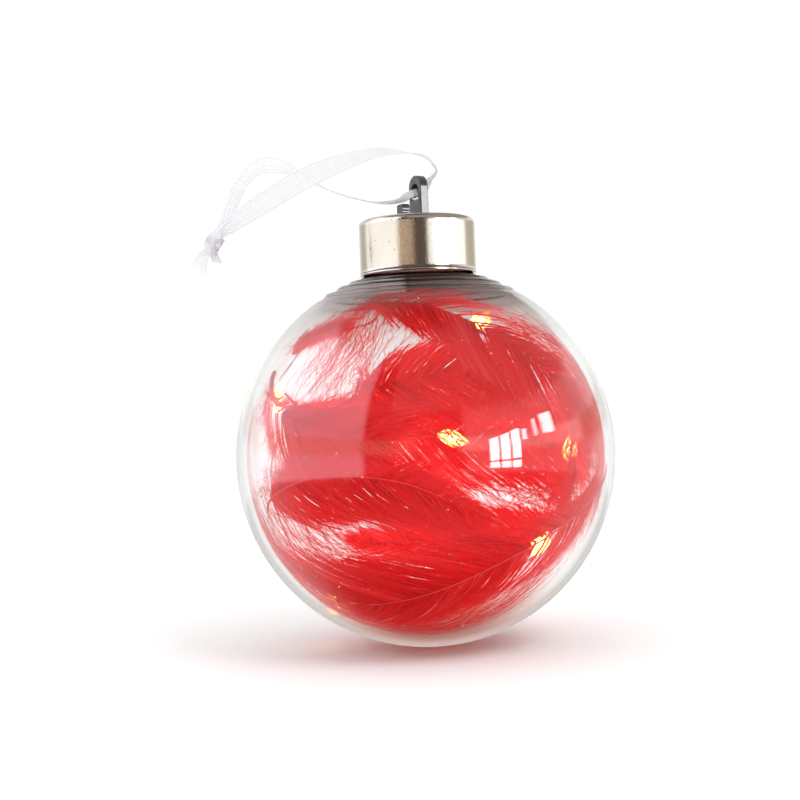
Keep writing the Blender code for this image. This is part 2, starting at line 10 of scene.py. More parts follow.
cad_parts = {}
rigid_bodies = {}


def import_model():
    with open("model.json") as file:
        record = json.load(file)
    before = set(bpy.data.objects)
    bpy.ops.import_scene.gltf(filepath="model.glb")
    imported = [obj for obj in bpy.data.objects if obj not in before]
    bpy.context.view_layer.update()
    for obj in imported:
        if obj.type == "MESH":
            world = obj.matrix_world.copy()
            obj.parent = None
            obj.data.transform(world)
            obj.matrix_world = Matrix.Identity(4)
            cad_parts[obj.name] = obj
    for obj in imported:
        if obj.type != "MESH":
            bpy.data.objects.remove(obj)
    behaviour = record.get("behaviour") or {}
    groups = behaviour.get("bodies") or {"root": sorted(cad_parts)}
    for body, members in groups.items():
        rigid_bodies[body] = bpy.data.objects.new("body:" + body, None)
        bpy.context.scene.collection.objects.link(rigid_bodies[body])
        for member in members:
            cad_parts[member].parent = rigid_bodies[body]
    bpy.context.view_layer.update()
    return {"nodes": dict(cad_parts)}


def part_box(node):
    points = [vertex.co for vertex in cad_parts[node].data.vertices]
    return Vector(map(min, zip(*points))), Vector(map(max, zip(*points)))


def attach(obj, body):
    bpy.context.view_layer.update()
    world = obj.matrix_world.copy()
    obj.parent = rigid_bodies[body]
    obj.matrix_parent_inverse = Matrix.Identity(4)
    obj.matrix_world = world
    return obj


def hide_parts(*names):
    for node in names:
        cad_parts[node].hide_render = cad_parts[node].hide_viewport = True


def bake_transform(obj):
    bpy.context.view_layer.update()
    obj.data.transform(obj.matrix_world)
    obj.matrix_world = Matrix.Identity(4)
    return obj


for leftover in list(bpy.data.objects):
    bpy.data.objects.remove(leftover, do_unlink=True)

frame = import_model()
NODES = frame["nodes"]
scene = bpy.context.scene
MM = 0.001

# ---- frame of reference
ball_low, ball_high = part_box("glass_ball")
BALL_R = (ball_high.x - ball_low.x) / 2 / MM
CENTRE = Vector(((ball_low.x + ball_high.x) / 2, (ball_low.y + ball_high.y) / 2,
                 ball_low.z + BALL_R * MM))
WALL = 1.1
NECK_R, NECK_BORE_R, NECK_TOP = 10.8, 9.7, (ball_high.z - CENTRE.z) / MM


def world(point):
    """Millimetres from the ball's centre to metres in the row frame."""
    return CENTRE + Vector(point) * MM


def linked(name, data):
    """New object with the data, linked to the scene."""
    obj = bpy.data.objects.new(name, data)
    scene.collection.objects.link(obj)
    return obj


# ---- camera
CAMERA_DISTANCE = 0.300
CAMERA_ELEVATION = math.radians(1.75)
SENSOR = 36.0
FOCAL = 1.7625 * SENSOR
ROLL = math.radians(2.2)
# Where the ball's centre stands in the picture: right and up, as shares of its distance.
AIM_OFFSET = (0.018, -0.0398)


def make_camera():
    data = bpy.data.cameras.new("camera")
    data.sensor_width = SENSOR
    data.lens = FOCAL
    data.clip_start = 0.01
    data.clip_end = 50.0
    camera = linked("camera", data)
    look = Vector((0.0, math.cos(CAMERA_ELEVATION), -math.sin(CAMERA_ELEVATION)))
    up = Vector((0.0, math.sin(CAMERA_ELEVATION), math.cos(CAMERA_ELEVATION)))
    right = Vector((1.0, 0.0, 0.0))
    side = right * math.cos(ROLL) - up * math.sin(ROLL)
    top = up * math.cos(ROLL) + right * math.sin(ROLL)
    level = Matrix((side, top, -look)).transposed()
    seen = Vector((*AIM_OFFSET, -1.0)).normalized()
    level = level @ seen.rotation_difference(Vector((0.0, 0.0, -1.0))).to_matrix()
    camera.matrix_world = Matrix.Translation(CENTRE - look * CAMERA_DISTANCE) @ level.to_4x4()
    scene.camera = camera


make_camera()

# ---- curves and meshes


def curve_through(controls, count):
    """Evenly numbered points on a Catmull-Rom curve through the control vectors."""
    knots = np.array(controls, float)
    knots = np.vstack([2 * knots[0] - knots[1], knots, 2 * knots[-1] - knots[-2]])
    position = (len(knots) - 3) * np.arange(count) / (count - 1)
    span = np.minimum(position.astype(int), len(knots) - 4)
    t = (position - span)[:, None]
    a, b, c, d = (knots[span + k] for k in range(4))
    curve = 2 * b + (c - a) * t + (2 * a - 5 * b + 4 * c - d) * t * t + (3 * b - a - 3 * c + d) * t ** 3
    return 0.5 * curve


def travelled(samples):
    """Distance along a polyline to each of its points, which are in the first three columns."""
    steps = np.linalg.norm(np.diff(samples[:, :3], axis=0), axis=1)
    return np.concatenate([[0.0], np.cumsum(steps)])


def evenly(samples, count):
    """Resample a polyline to equally spaced points."""
    along = travelled(samples)
    target = np.linspace(0.0, along[-1], count)
    return np.stack([np.interp(target, along, column) for column in samples.T], axis=1)


def unit(vectors):
    return vectors / np.maximum(np.linalg.norm(vectors, axis=-1, keepdims=True), 1e-12)


def ahead_of(path):
    """Direction of a path at each of its points."""
    return unit(np.gradient(path, axis=0))


def ring_faces(rings, sides):
    """Four-sided faces between closed rings of points that follow one another."""
    faces = []
    for i in range(rings - 1):
        for k in range(sides):
            m = (k + 1) % sides
            faces.append((i * sides + k, i * sides + m, (i + 1) * sides + m, (i + 1) * sides + k))
    return faces


# A tube's first point is numbered from this side of its path; no path runs along it.
TUBE_SIDE = np.array((0.31, 0.47, 0.83))


class Sheet:
    """Faces and points with tones, in millimetres from an origin, which is given from the ball's centre."""

    def __init__(self, origin=(0.0, 0.0, 0.0)):
        self.origin = origin
        self.points, self.faces, self.tones, self.count = [], [], [], 0

    def add(self, points, faces, tones):
        points = np.asarray(points, float).reshape(-1, 3)
        self.points.append(points)
        self.faces.append((np.asarray(faces, int) + self.count).tolist())
        self.tones.append(np.broadcast_to(np.asarray(tones, float), (len(points),)))
        self.count += len(points)

    def strip(self, centres, sides, half_widths, tones):
        """Flat strip along centres, as wide as half_widths to each side."""
        half = np.asarray(half_widths, float).reshape(-1, 1) * np.ones((len(centres), 1))
        points = np.empty((2 * len(centres), 3))
        points[0::2], points[1::2] = centres - sides * half, centres + sides * half
        first = 2 * np.arange(len(centres) - 1)
        faces = np.stack([first, first + 1, first + 3, first + 2], axis=1)
        self.add(points, faces, np.repeat(np.broadcast_to(tones, (len(centres),)), 2))

    def spikes(self, roots, tips, sides, half_width, tones):
        """Many thin triangles from roots to tips."""
        points = np.empty((3 * len(roots), 3))
        points[0::3], points[1::3] = roots - sides * half_width, roots + sides * half_width
        points[2::3] = tips
        self.add(points, np.arange(len(points)).reshape(-1, 3), np.repeat(tones, 3))

    def tube(self, centres, radii, sides, tones=0.5):
        """Round tube with closed ends along a path."""
        count, start = len(centres), self.count
        ahead = ahead_of(centres)
        u = np.empty((count, 3))
        first = TUBE_SIDE
        for i in range(count):
            first = first - ahead[i] * first.dot(ahead[i])
            first = first / np.linalg.norm(first)
            u[i] = first
        v = np.cross(ahead, u)
        angles = (2 * math.pi * np.arange(sides) / sides)[None, :, None]
        radii = np.broadcast_to(np.asarray(radii, float), (count,)).reshape(-1, 1, 1)
        ring = (u[:, None] * np.cos(angles) + v[:, None] * np.sin(angles)) * radii
        self.add(centres[:, None] + ring, ring_faces(count, sides), tones)
        rings = np.arange(start, self.count).reshape(count, sides)
        self.faces += [[rings[0, ::-1].tolist()], [rings[-1].tolist()]]

    def build(self, name, material, smooth=True):
        mesh = bpy.data.meshes.new(name)
        points = (np.concatenate(self.points) + self.origin) * MM + np.array(CENTRE)
        faces = [f for group in self.faces for f in group]
        mesh.from_pydata(points.tolist(), [], faces)
        tone = mesh.attributes.new("tone", "FLOAT", "POINT")
        tone.data.foreach_set("value", np.concatenate(self.tones).astype(np.float32))
        mesh.polygons.foreach_set("use_smooth", [smooth] * len(mesh.polygons))
        mesh.materials.append(material)
        mesh.update()
        return linked(name, mesh)


def arc(middle, height, radius, start, end, steps):
    """Points at a radius round (middle, height), from a start angle to an end angle."""
    angles = [start + (end - start) * i / steps for i in range(steps + 1)]
    return [(middle + radius * math.cos(angle), height + radius * math.sin(angle)) for angle in angles]


def turned(profile, sides, squash=1.0):
    """Points and faces of a closed (radius, height) profile turned round Z."""
    points, faces, rings = [], [], []
    for radius, height in profile:
        if radius < 1e-6:
            rings.append([len(points)] * sides)
            points.append((0.0, 0.0, height))
            continue
        rings.append(list(range(len(points), len(points) + sides)))
        for k in range(sides):
            angle = 2 * math.pi * k / sides
            points.append((radius * math.cos(angle), radius * squash * math.sin(angle), height))
    for low, high in zip(rings, rings[1:] + rings[:1]):
        for k in range(sides):
            face = tuple(dict.fromkeys((low[k], low[k - 1], high[k - 1], high[k])))
            if len(face) > 2:
                faces.append(face)
    return points, faces


def body(name, points, faces, material, smooth_angle):
    """Closed mesh in millimetres from the ball's centre, smooth up to an angle."""
    mesh = bpy.data.meshes.new(name)
    mesh.from_pydata([world(p) for p in points], [], faces)
    shape = bmesh.new()
    shape.from_mesh(mesh)
    bmesh.ops.recalc_face_normals(shape, faces=shape.faces)
    shape.to_mesh(mesh)
    shape.free()
    soften(mesh, smooth_angle)
    mesh.materials.append(material)
    return linked(name, mesh)


def soften(mesh, angle):
    mesh.polygons.foreach_set("use_smooth", [True] * len(mesh.polygons))
    mesh.set_sharp_from_angle(angle=math.radians(angle))


def rounded(obj, width, segments=3):
    step = obj.modifiers.new("round", "BEVEL")
    step.width = width * MM
    step.segments = segments
    step.limit_method = "ANGLE"
    step.angle_limit = math.radians(40.0)
    step.harden_normals = True


def aimed(points, centre, direction):
    """Lay points built round Z along a direction through a centre."""
    turn = Vector((0.0, 0.0, 1.0)).rotation_difference(Vector(direction).normalized())
    return [Vector(centre) + turn @ Vector(p) for p in points]


def give(obj, where, slot, *replaced):
    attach(obj, where)
    if replaced:
        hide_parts(*replaced)
    return obj


# ---- materials


class Graph:
    """Short way to build a node material round one Principled shader."""

    def __init__(self, name, **constants):
        self.material = bpy.data.materials.new(name)
        self.material.use_nodes = True
        self.tree = self.material.node_tree
        self.shader = self.tree.nodes["Principled BSDF"]
        for socket, value in constants.items():
            self.to(socket.replace("_", " "), value)
        self.coordinates = self.node("ShaderNodeTexCoord").outputs["Object"]

    def fill(self, made, inputs):
        """Set each input to a value, or link it to the socket that is given for it."""
        for key, value in inputs.items():
            if isinstance(value, bpy.types.NodeSocket):
                self.tree.links.new(value, made.inputs[key])
            else:
                made.inputs[key].default_value = value

    def node(self, kind, inputs=None, **settings):
        made = self.tree.nodes.new(kind)
        for key, value in settings.items():
            setattr(made, key, value)
        self.fill(made, inputs or {})
        return made

    def to(self, socket, value):
        self.fill(self.shader, {socket: value})

    def noise(self, scale, detail=3.0, stretch=(1, 1, 1), roughness=0.5):
        mapping = self.node("ShaderNodeMapping", {"Scale": stretch, "Vector": self.coordinates})
        made = self.node("ShaderNodeTexNoise", {"Scale": scale, "Detail": detail, "Roughness": roughness,
                                                "Vector": mapping.outputs["Vector"]})
        return made.outputs["Fac"]

    def ramp(self, source, stops):
        made = self.node("ShaderNodeValToRGB", {"Fac": source})
        elements = made.color_ramp.elements
        while len(elements) < len(stops):
            elements.new(0.5)
        for element, (position, colour) in zip(elements, stops):
            element.position = position
            element.color = (*colour, 1.0)
        return made.outputs["Color"]

    def levels(self, source, low, high):
        made = self.node("ShaderNodeMapRange", {"Value": source, "To Min": low, "To Max": high})
        return made.outputs["Result"]

    def mix(self, factor, first, second, blend="MIX"):
        """Mix two colours; a Mix node numbers its colour inputs 6 and 7 and the output 2."""
        inputs = {0: factor, 6: first, 7: second}
        return self.node("ShaderNodeMix", inputs, data_type="RGBA", blend_type=blend).outputs[2]

    def tone(self):
        return self.node("ShaderNodeAttribute", attribute_name="tone").outputs["Fac"]

    def bump(self, height, strength, distance):
        inputs = {"Height": height, "Strength": strength, "Distance": distance * MM}
        self.to("Normal", self.node("ShaderNodeBump", inputs).outputs["Normal"])

    def output(self, factor, first, second):
        """Send a mix of two shaders to the material's output."""
        made = self.node("ShaderNodeMixShader", {0: factor, 1: first, 2: second})
        self.fill(self.tree.nodes["Material Output"], {"Surface": made.outputs["Shader"]})


# Height above the ball's centre and colour of the glass there: painted reflections, darker on the shoulder,
# dark bands of painted shade on the neck's moulded rings and a pinkish painted reflection of the table at its
# foot.
GLASS_PAINTED_REFLECTIONS = (
    (-39.0, (0.84, 0.44, 0.38)), (-35.5, (0.87, 0.50, 0.43)), (-31.5, (0.98, 0.86, 0.83)),
    (-26.0, (1.0, 1.0, 1.0)), (22.0, (1.0, 1.0, 1.0)), (29.0, (0.84, 0.81, 0.79)),
    (32.2, (0.66, 0.61, 0.59)), (33.2, (0.34, 0.27, 0.25)), (34.0, (0.56, 0.49, 0.47)),
    (34.8, (0.16, 0.12, 0.11)), (35.5, (0.44, 0.37, 0.35)), (36.1, (0.14, 0.10, 0.09)),
    (36.8, (0.50, 0.43, 0.41)), (37.3, (0.18, 0.13, 0.12)), (38.2, (0.34, 0.27, 0.25)),
)


def glass_material():
    g = Graph("thin_clear_glass", Roughness=0.0, IOR=1.46, Transmission_Weight=1.0)
    clear = g.ramp(g.noise(30.0, 2.0), [(0.3, (0.985, 0.99, 0.988)), (0.8, (1.0, 1.0, 1.0))])
    split = g.node("ShaderNodeSeparateXYZ", {"Vector": g.coordinates})
    height = g.node("ShaderNodeMapRange", {"Value": split.outputs["Z"],
                                           "From Min": CENTRE.z - BALL_R * MM,
                                           "From Max": CENTRE.z + BALL_R * MM})
    # The glass's base colour by height carries the painted reflections and painted shade of that table.
    stops = [(0.5 + z / (2 * BALL_R), tone) for z, tone in GLASS_PAINTED_REFLECTIONS]
    g.to("Base Color", g.mix(1.0, clear, g.ramp(height.outputs["Result"], stops), "MULTIPLY"))
    g.bump(g.noise(55.0, 2.0), 0.10, 0.12)
    return g.material


def cap_material():
    g = Graph("champagne_plating", Metallic=1.0)
    colour = g.ramp(g.noise(120.0), [(0.25, (0.62, 0.575, 0.505)), (0.75, (0.68, 0.645, 0.585))])
    pits = g.node("ShaderNodeTexVoronoi", {"Scale": 420.0, "Vector": g.coordinates})
    spot = g.ramp(pits.outputs["Distance"], [(0.0, (1, 1, 1)), (0.05, (1, 1, 1)), (0.07, (0, 0, 0))])
    g.to("Base Color", g.mix(spot, colour, (0.30, 0.24, 0.18, 1.0)))
    g.to("Roughness", g.levels(g.noise(900.0, 4.0, roughness=0.65), 0.05, 0.12))
    g.bump(g.noise(3000.0, 2.0), 0.9, 0.028)
    return g.material


def moulded_material(name, dark, light, rough, strength=0.06, coat=0.0):
    g = Graph(name, Coat_Weight=coat, Coat_Roughness=0.05)
    g.to("Base Color", g.ramp(g.noise(200.0), [(0.3, dark), (0.75, light)]))
    g.to("Roughness", g.levels(g.noise(500.0, 4.0), rough * 0.8, rough * 1.3))
    g.bump(g.noise(1500.0), strength, 0.05)
    return g.material


def metal_material(name, dark, light, rough):
    g = Graph(name, Metallic=1.0)
    lines = g.noise(700.0, 4.0, (1, 1, 12))
    g.to("Base Color", g.ramp(lines, [(0.3, dark), (0.7, light)]))
    g.to("Roughness", g.levels(g.noise(300.0), rough * 0.8, rough * 1.4))
    g.bump(lines, 0.08, 0.03)
    return g.material


def let_through(g, colour, share):
    """Mix light from behind into a thin sheet."""
    through = g.node("ShaderNodeBsdfTranslucent", {"Color": colour})
    g.output(share, g.shader.outputs["BSDF"], through.outputs["BSDF"])


def feather_material():
    # Besides its dyed red, the feather glows faintly in that same colour: painted light standing in for the
    # light inside the ball.
    g = Graph("dyed_feather", Roughness=0.6, Specular_IOR_Level=0.12, Emission_Strength=0.17,
              Sheen_Weight=0.08, Sheen_Roughness=0.4, Sheen_Tint=(1.0, 0.25, 0.25, 1.0))
    streak = g.ramp(g.tone(), [(0.0, (0.30, 0.002, 0.004)), (0.40, (0.74, 0.008, 0.012)),
                               (0.75, (0.95, 0.04, 0.05)), (1.0, (0.99, 0.26, 0.29))])
    cloud = g.ramp(g.noise(70.0), [(0.3, (0.84, 0.008, 0.010)), (0.7, (0.98, 0.035, 0.045))])
    dyed_and_painted_glow = g.mix(g.levels(g.noise(160.0), 0.1, 0.6), streak, cloud)
    g.to("Base Color", dyed_and_painted_glow)
    g.to("Emission Color", dyed_and_painted_glow)
    g.bump(g.noise(2500.0, 2.0), 0.15, 0.02)
    let_through(g, (1.0, 0.035, 0.045, 1.0), 0.45)
    return g.material


def quill_material():
    # The quill glows faintly red: painted light standing in for the dim light inside the ball, as it is no
    # lamp.
    g = Graph("feather_quill", Coat_Weight=0.2, Coat_Roughness=0.2, Emission_Color=(0.6, 0.01, 0.02, 1.0),
              Emission_Strength=0.14)
    lines = g.noise(260.0, 3.0, (1, 1, 4))
    g.to("Base Color", g.ramp(lines, [(0.3, (0.42, 0.010, 0.018)), (0.7, (0.78, 0.03, 0.045))]))
    g.to("Roughness", g.levels(g.noise(600.0), 0.25, 0.45))
    g.bump(g.noise(1500.0), 0.1, 0.03)
    return g.material


def lamp_material(name, pale, deep, glow, clear=0.0):
    g = Graph(name, Roughness=0.12, Emission_Strength=glow, Coat_Weight=0.4, Transmission_Weight=clear)
    shade = g.ramp(g.noise(500.0, 3.0), [(0.35, pale), (0.65, deep)])
    g.to("Base Color", shade)
    g.to("Emission Color", shade)
    g.bump(g.noise(600.0), 0.2, 0.05)
    return g.material


def organza_material():
    g = Graph("organza", Roughness=0.5, Sheen_Weight=0.3, Sheen_Roughness=0.3)
    g.to("Base Color", g.ramp(g.tone(), [(0.0, (0.62, 0.62, 0.64)), (1.0, (0.92, 0.92, 0.94))]))
    g.bump(g.noise(4000.0, 2.0), 0.2, 0.02)
    let_through(g, (0.95, 0.95, 0.97, 1.0), 0.5)
    return g.material


GLASS = glass_material()
CAP = cap_material()
BLACK = moulded_material("gloss_black_plastic", (0.012, 0.014, 0.018), (0.035, 0.04, 0.046), 0.16, coat=0.5)
SATIN = moulded_material("satin_black_plastic", (0.016, 0.016, 0.018), (0.045, 0.045, 0.048), 0.38, 0.2)
SILICONE = moulded_material("clear_silicone_look", (0.62, 0.62, 0.60), (0.78, 0.78, 0.75), 0.40)
BOARD = moulded_material("board_green", (0.02, 0.16, 0.06), (0.05, 0.28, 0.10), 0.45)
STEEL = metal_material("rolled_steel", (0.55, 0.54, 0.50), (0.72, 0.71, 0.67), 0.28)
NICKEL = metal_material("battery_nickel", (0.66, 0.66, 0.65), (0.80, 0.80, 0.79), 0.24)
BRASS = metal_material("bright_brass", (0.66, 0.50, 0.22), (0.84, 0.67, 0.34), 0.26)
WIRE = metal_material("silver_wire_look", (0.88, 0.87, 0.85), (0.98, 0.98, 0.97), 0.35)
FEATHER = feather_material()
QUILL = quill_material()
LAMP = lamp_material("lit_epoxy", (1.0, 0.93, 0.55), (1.0, 0.72, 0.20), 0.6, 0.8)
CHIP = lamp_material("lit_chip", (1.0, 0.90, 0.60), (1.0, 0.75, 0.30), 30.0)
ORGANZA = organza_material()
SPECK = moulded_material("speck_white", (0.8, 0.8, 0.8), (1.0, 1.0, 1.0), 0.2, coat=0.6)

# ---- glass ball
# Moulded rings on the ball's shoulder: radii, the width of one, how far the shoulder sinks between
# them and how far they stand up, and the radii between which it does so.
RIPPLE_R, RIPPLE_WIDTH = (19.8, 17.2, 14.6), 0.62
RIPPLE_SINK, RIPPLE_DEPTH = 0.25, 0.45
RIPPLES_FROM, RIPPLES_TO = 12.6, 22.5
OUTER_STEPS, INNER_STEPS = 180, 119


def clamped(value):
    return min(1.0, max(0.0, value))


def ball_profile():
    """Outer skin from the pole to the neck's lip, then the inner skin back to the pole."""
    profile = [(0.0, -BALL_R)]
    end = math.asin((NECK_R + 1.0) / BALL_R)
    for i in range(1, OUTER_STEPS + 1):
        angle = math.pi - (math.pi - end) * i / OUTER_STEPS
        radius = BALL_R * math.sin(angle)
        dip = 0.0
        if angle < math.pi / 2:
            share = clamped((RIPPLES_TO - radius) / 2.5) * clamped((radius - RIPPLES_FROM) / 1.2)
            rings = sum(math.exp(-((radius - r) / RIPPLE_WIDTH) ** 2) for r in RIPPLE_R)
            dip = share * (RIPPLE_SINK - RIPPLE_DEPTH * rings)
        profile.append(((BALL_R - dip) * math.sin(angle), (BALL_R - dip) * math.cos(angle)))
    rise = math.sqrt(BALL_R ** 2 - NECK_R ** 2)
    profile += [(NECK_R + 0.45, rise + 0.1), (NECK_R + 0.15, rise + 0.5), (NECK_R, rise + 1.1)]
    profile += [(NECK_R, NECK_TOP - 0.4), (NECK_R - 0.12, NECK_TOP - 0.12), (NECK_R - 0.35, NECK_TOP)]
    profile += [(NECK_BORE_R + 0.35, NECK_TOP), (NECK_BORE_R + 0.12, NECK_TOP - 0.12)]
    inner_r = BALL_R - WALL
    inner_end = math.asin((NECK_BORE_R + 0.3) / inner_r)
    profile += [(NECK_BORE_R, NECK_TOP - 0.4), (NECK_BORE_R, inner_r * math.cos(inner_end) + 0.6)]
    for i in range(INNER_STEPS):
        angle = inner_end + (math.pi - inner_end) * i / INNER_STEPS
        profile.append((inner_r * math.sin(angle), inner_r * math.cos(angle)))
    return profile + [(0.0, -inner_r)]


glass = body("blown_glass_ball", *turned(ball_profile(), 144), GLASS, 60.0)
give(glass, "ball", "clear_glass", "glass_ball")

# ---- cap
cap_low, cap_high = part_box("cap_sleeve")
CAP_R = (cap_high.x - cap_low.x) / 2 / MM
CAP_BOTTOM, CAP_TOP = (cap_low.z - CENTRE.z) / MM, (cap_high.z - CENTRE.z) / MM
CAP_OPENING_R = 9.8


def cap_profile():
    """Rolled rim at the foot, straight wall, rounded shoulder and the round opening at the top."""
    edge, bead = 1.35, 0.28
    profile = [(CAP_R + r, CAP_BOTTOM + z) for r, z in ((0, 1.2), (0, 1.0), (-0.05, 0.75), (-0.08, 0.62))]
    profile += arc(CAP_R - bead, CAP_BOTTOM + bead, bead, math.pi / 2, -math.pi / 2, 6)
    profile += [(CAP_R - 0.7, CAP_BOTTOM + 0.05)]
    profile += [(CAP_R + r, CAP_TOP + z) for r, z in ((-0.7, -1.3), (-1.0, -0.85), (-1.3, -0.7))]
    opening = ((0.1, -0.7), (0, -0.6), (0, -0.12), (0.12, 0))
    profile += [(CAP_OPENING_R + r, CAP_TOP + z) for r, z in opening]
    profile += arc(CAP_R - edge, CAP_TOP - edge, edge, math.pi / 2, 0.0, 12)
    return profile + [(CAP_R, CAP_TOP - edge - 0.15), (CAP_R, CAP_TOP - edge - 0.4)]


cap = body("plated_cap_sleeve", *turned(cap_profile(), 128), CAP, 50.0)
give(cap, "cap", "plated_cap", "cap_sleeve")

# ---- hanging eye and switch knob
EYE_TURN = math.radians(-60.0)
EYE_X, EYE_Y, EYE_HOLE_TOP = (-value / MM for value in CENTRE)
EYE_WIDTH, EYE_THICKNESS = 5.0, 1.9
EYE_HOLE_WIDTH, EYE_HOLE_FOOT = 2.8, 54.6


def upright(points, offset):
    matrix = Matrix.Translation(Vector(offset)) @ Matrix.Rotation(EYE_TURN, 4, "Z")
    return [matrix @ Vector(p) for p in points]


def arch(width, low, high, foot, rise):
    """Outline with a round head; its lowest edge is foot wider to each side, up to rise above it."""
    radius = width / 2
    return [(-radius - foot, low), (radius + foot, low), (radius, low + rise),
            *arc(0.0, high - radius, radius, 0.0, math.pi, 40), (-radius, low + rise)]


def build_eye():
    low, high = ((corner.z - CENTRE.z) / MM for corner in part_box("hanging_eye"))
    outer = arch(EYE_WIDTH, low, high, 0.35, 1.6)
    inner = arch(EYE_HOLE_WIDTH, EYE_HOLE_FOOT, EYE_HOLE_TOP, 0.0, 0.5)
    count = len(outer)
    half = EYE_THICKNESS / 2
    points = [(u, v, z) for v in (-half, half) for loop in (outer, inner) for u, z in loop]
    faces = []
    for k in range(count):
        m = (k + 1) % count
        for a, b in ((0, 1), (3, 2), (2, 0), (1, 3)):
            faces.append((a * count + k, a * count + m, b * count + m, b * count + k))
    eye = body("moulded_hanging_eye", upright(points, (EYE_X, EYE_Y, 0)), faces, BLACK, 8.0)
    rounded(eye, 0.26)
    give(eye, "cap", "gloss_black", "hanging_eye")


def stacked(profile):
    """Closed stack of rectangles, each given by its half widths and its height."""
    points = [(u * half_u, v * half_v, height) for half_u, half_v, height in profile
              for u, v in ((1, 1), (-1, 1), (-1, -1), (1, -1))]
    last = len(points) - 4
    return points, ring_faces(len(profile), 4) + [(3, 2, 1, 0), (last, last + 1, last + 2, last + 3)]


def build_knob():
    low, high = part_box("switch_knob")
    middle = ((low + high) / 2 - CENTRE) / MM
    bottom, top = (low.z - CENTRE.z) / MM, (high.z - CENTRE.z) / MM
    wide, groove, deep = 1.2, 1.13, 0.9
    profile = [(1.1, 0.8, bottom), (wide, deep, bottom + 0.2), (wide, deep, top - 2.6)]
    for rib in range(3):
        step = top - 2.5 + 0.62 * rib
        profile += [(wide, deep, step), (wide, deep, step + 0.36)]
        profile += [(groove, deep, step + 0.44), (groove, deep, step + 0.54)]
    profile += [(wide, deep, top - 0.62), (1.15, 0.88, top - 0.25), (0.95, 0.72, top)]
    points, faces = stacked(profile)
    knob = body("ribbed_switch_knob", upright(points, (middle.x, middle.y, 0)), faces, BLACK, 35.0)
    rounded(knob, 0.14, 2)
    give(knob, "switch", "gloss_black", "switch_knob")


build_eye()
build_knob()

# ---- carried-over CAD nodes
NODE_LOOKS = (
    (SATIN, "battery_housing", "battery_door"), (SILICONE, "seal_ring", "lead_grommet"),
    (STEEL, "switch_shell", "positive_contact", "negative_contact"), (NICKEL, "coin_cell"),
    (BOARD, "switch_base", "circuit_board"), (BRASS, "switch_wiper"), (BLACK, "resistor"),
)
for look, *node_names in NODE_LOOKS:
    for node_name in node_names:
        node = NODES[node_name]
        node.data.materials.clear()
        node.data.materials.append(look)
        soften(node.data, 30.0)

# ---- feathers
# Each feather: stops of its shaft as (longitude, latitude), the radius it lies at, and the width of
# its two sides, each with how soon it widens from the root.
OUTER_SHELL, INNER_SHELL = 37.9, 34.9
QUICK, SLOW = 0.62, 1.6
FEATHERS = (
    (((80, -4), (58, -15), (25, -31), (-10, -44), (-46, -46)), OUTER_SHELL, ((15.0, SLOW), (12.5, QUICK))),
    (((-82, -17), (-61, -10), (-36, -4), (-8, -6), (20, -18)), INNER_SHELL, ((15.0, QUICK), (5.5, QUICK))),
    (((-48, 55), (-22, 56), (2, 53), (20, 45), (36, 33), (52, 20), (62, 9)), OUTER_SHELL,
     ((12.5, QUICK), (8.5, QUICK))),
    (((-63, 37), (-48, 42), (-33, 45)), OUTER_SHELL, ((3.0, QUICK), (3.4, QUICK))),
    (((72, 34), (64, 16), (60, 1), (50, -12)), INNER_SHELL, ((8.5, QUICK), (9.5, QUICK))),
    (((-80, 31), (-58, 20), (-38, 11), (-10, 6)), OUTER_SHELL, ((9.5, QUICK), (8.5, SLOW))),
    (((-112, 24), (-140, 12), (180, 6), (135, 2), (108, -2)), OUTER_SHELL, ((15.0, QUICK), (15.0, QUICK))),
    (((100, -26), (128, -34), (170, -38), (-142, -34)), INNER_SHELL, ((9.0, QUICK), (10.0, QUICK))),
    (((-34, 18), (-10, 26), (14, 28), (36, 22)), INNER_SHELL, ((13.0, QUICK), (9.5, QUICK))),
)


# Feathers by number: those with less stray down, those with a pale ridge along the shaft, the one
# whose bare quill is thick, and the share of the shaft that is bare at the root.
BACK_FEATHERS = (7, 8)
RIDGED_FEATHERS = (1, 2)
BARE_QUILL = 6
BARE, BARE_USUAL = {6: 0.27, 2: 0.16, 1: 0.15}, 0.13
SHAFT_STEPS = 240
# Mean and deviation of what the barbs of a clump share: reach, twist in degrees and tone.
CLUMPS = ((1.0, 0.07), (0, 1.3), (0, 0.12))
BARB_PITCH = 0.32
HAIR_REACH_R = 38.8
# Degrees between barb and shaft at the root, and by how much they close up towards the tip.
BARB_LEAN, LEAN_CLOSES = 62.0, 34.0
BARBULE_HALF_WIDTH = 0.026
DOWN_PER_MM, BACK_DOWN_PER_MM = 6.5, 3.2
# The quill stands this far inside its barbs; it and the ridge end so many steps before the tip.
QUILL_DEPTH, QUILL_SHORT, RIDGE_SHORT = 1.4, 14, 30


def on_sphere(longitude, latitude):
    """Unit vector; longitude 0 faces the front and grows to the right."""
    lon, lat = math.radians(longitude), math.radians(latitude)
    return (math.sin(lon) * math.cos(lat), -math.cos(lon) * math.cos(lat), math.sin(lat))


def vane_edge(share, width, swell):
    return width * max(0.06, math.sin(math.pi * share ** swell)) ** 0.8


# Lamp drops: centre and direction of each, in mm from the ball's centre.
DROPS = (
    ((-31.3, 2.5, 13.4), (-0.08, 0.14, -0.98)),
    ((-20.5, 3.0, -30.6), (0.62, -0.30, -0.50)),
    ((22.1, -17.0, -17.6), (0.50, 0.10, 0.70)),
    ((30.2, -4.5, 0.1), (0.05, -0.05, 0.95)),
    ((5.4, -26.0, 4.0), (-0.75, -0.05, 0.25)),
    ((12.0, -15.0, 27.1), (0.60, 0.50, 0.45)),
)
# Barbs that come nearer than SIGHT_GAP to the line from FRONT to a lamp hide it; most of them are
# left out. Barbs end at about the height NECK_SHADE, below the shaded neck.
FRONT = np.array((0.0, -300.0, 9.0))
SIGHT_GAP = 1.8
NECK_SHADE = 31.2
LAMP_CLEARED = 0.85
FEWEST_POINTS = 4


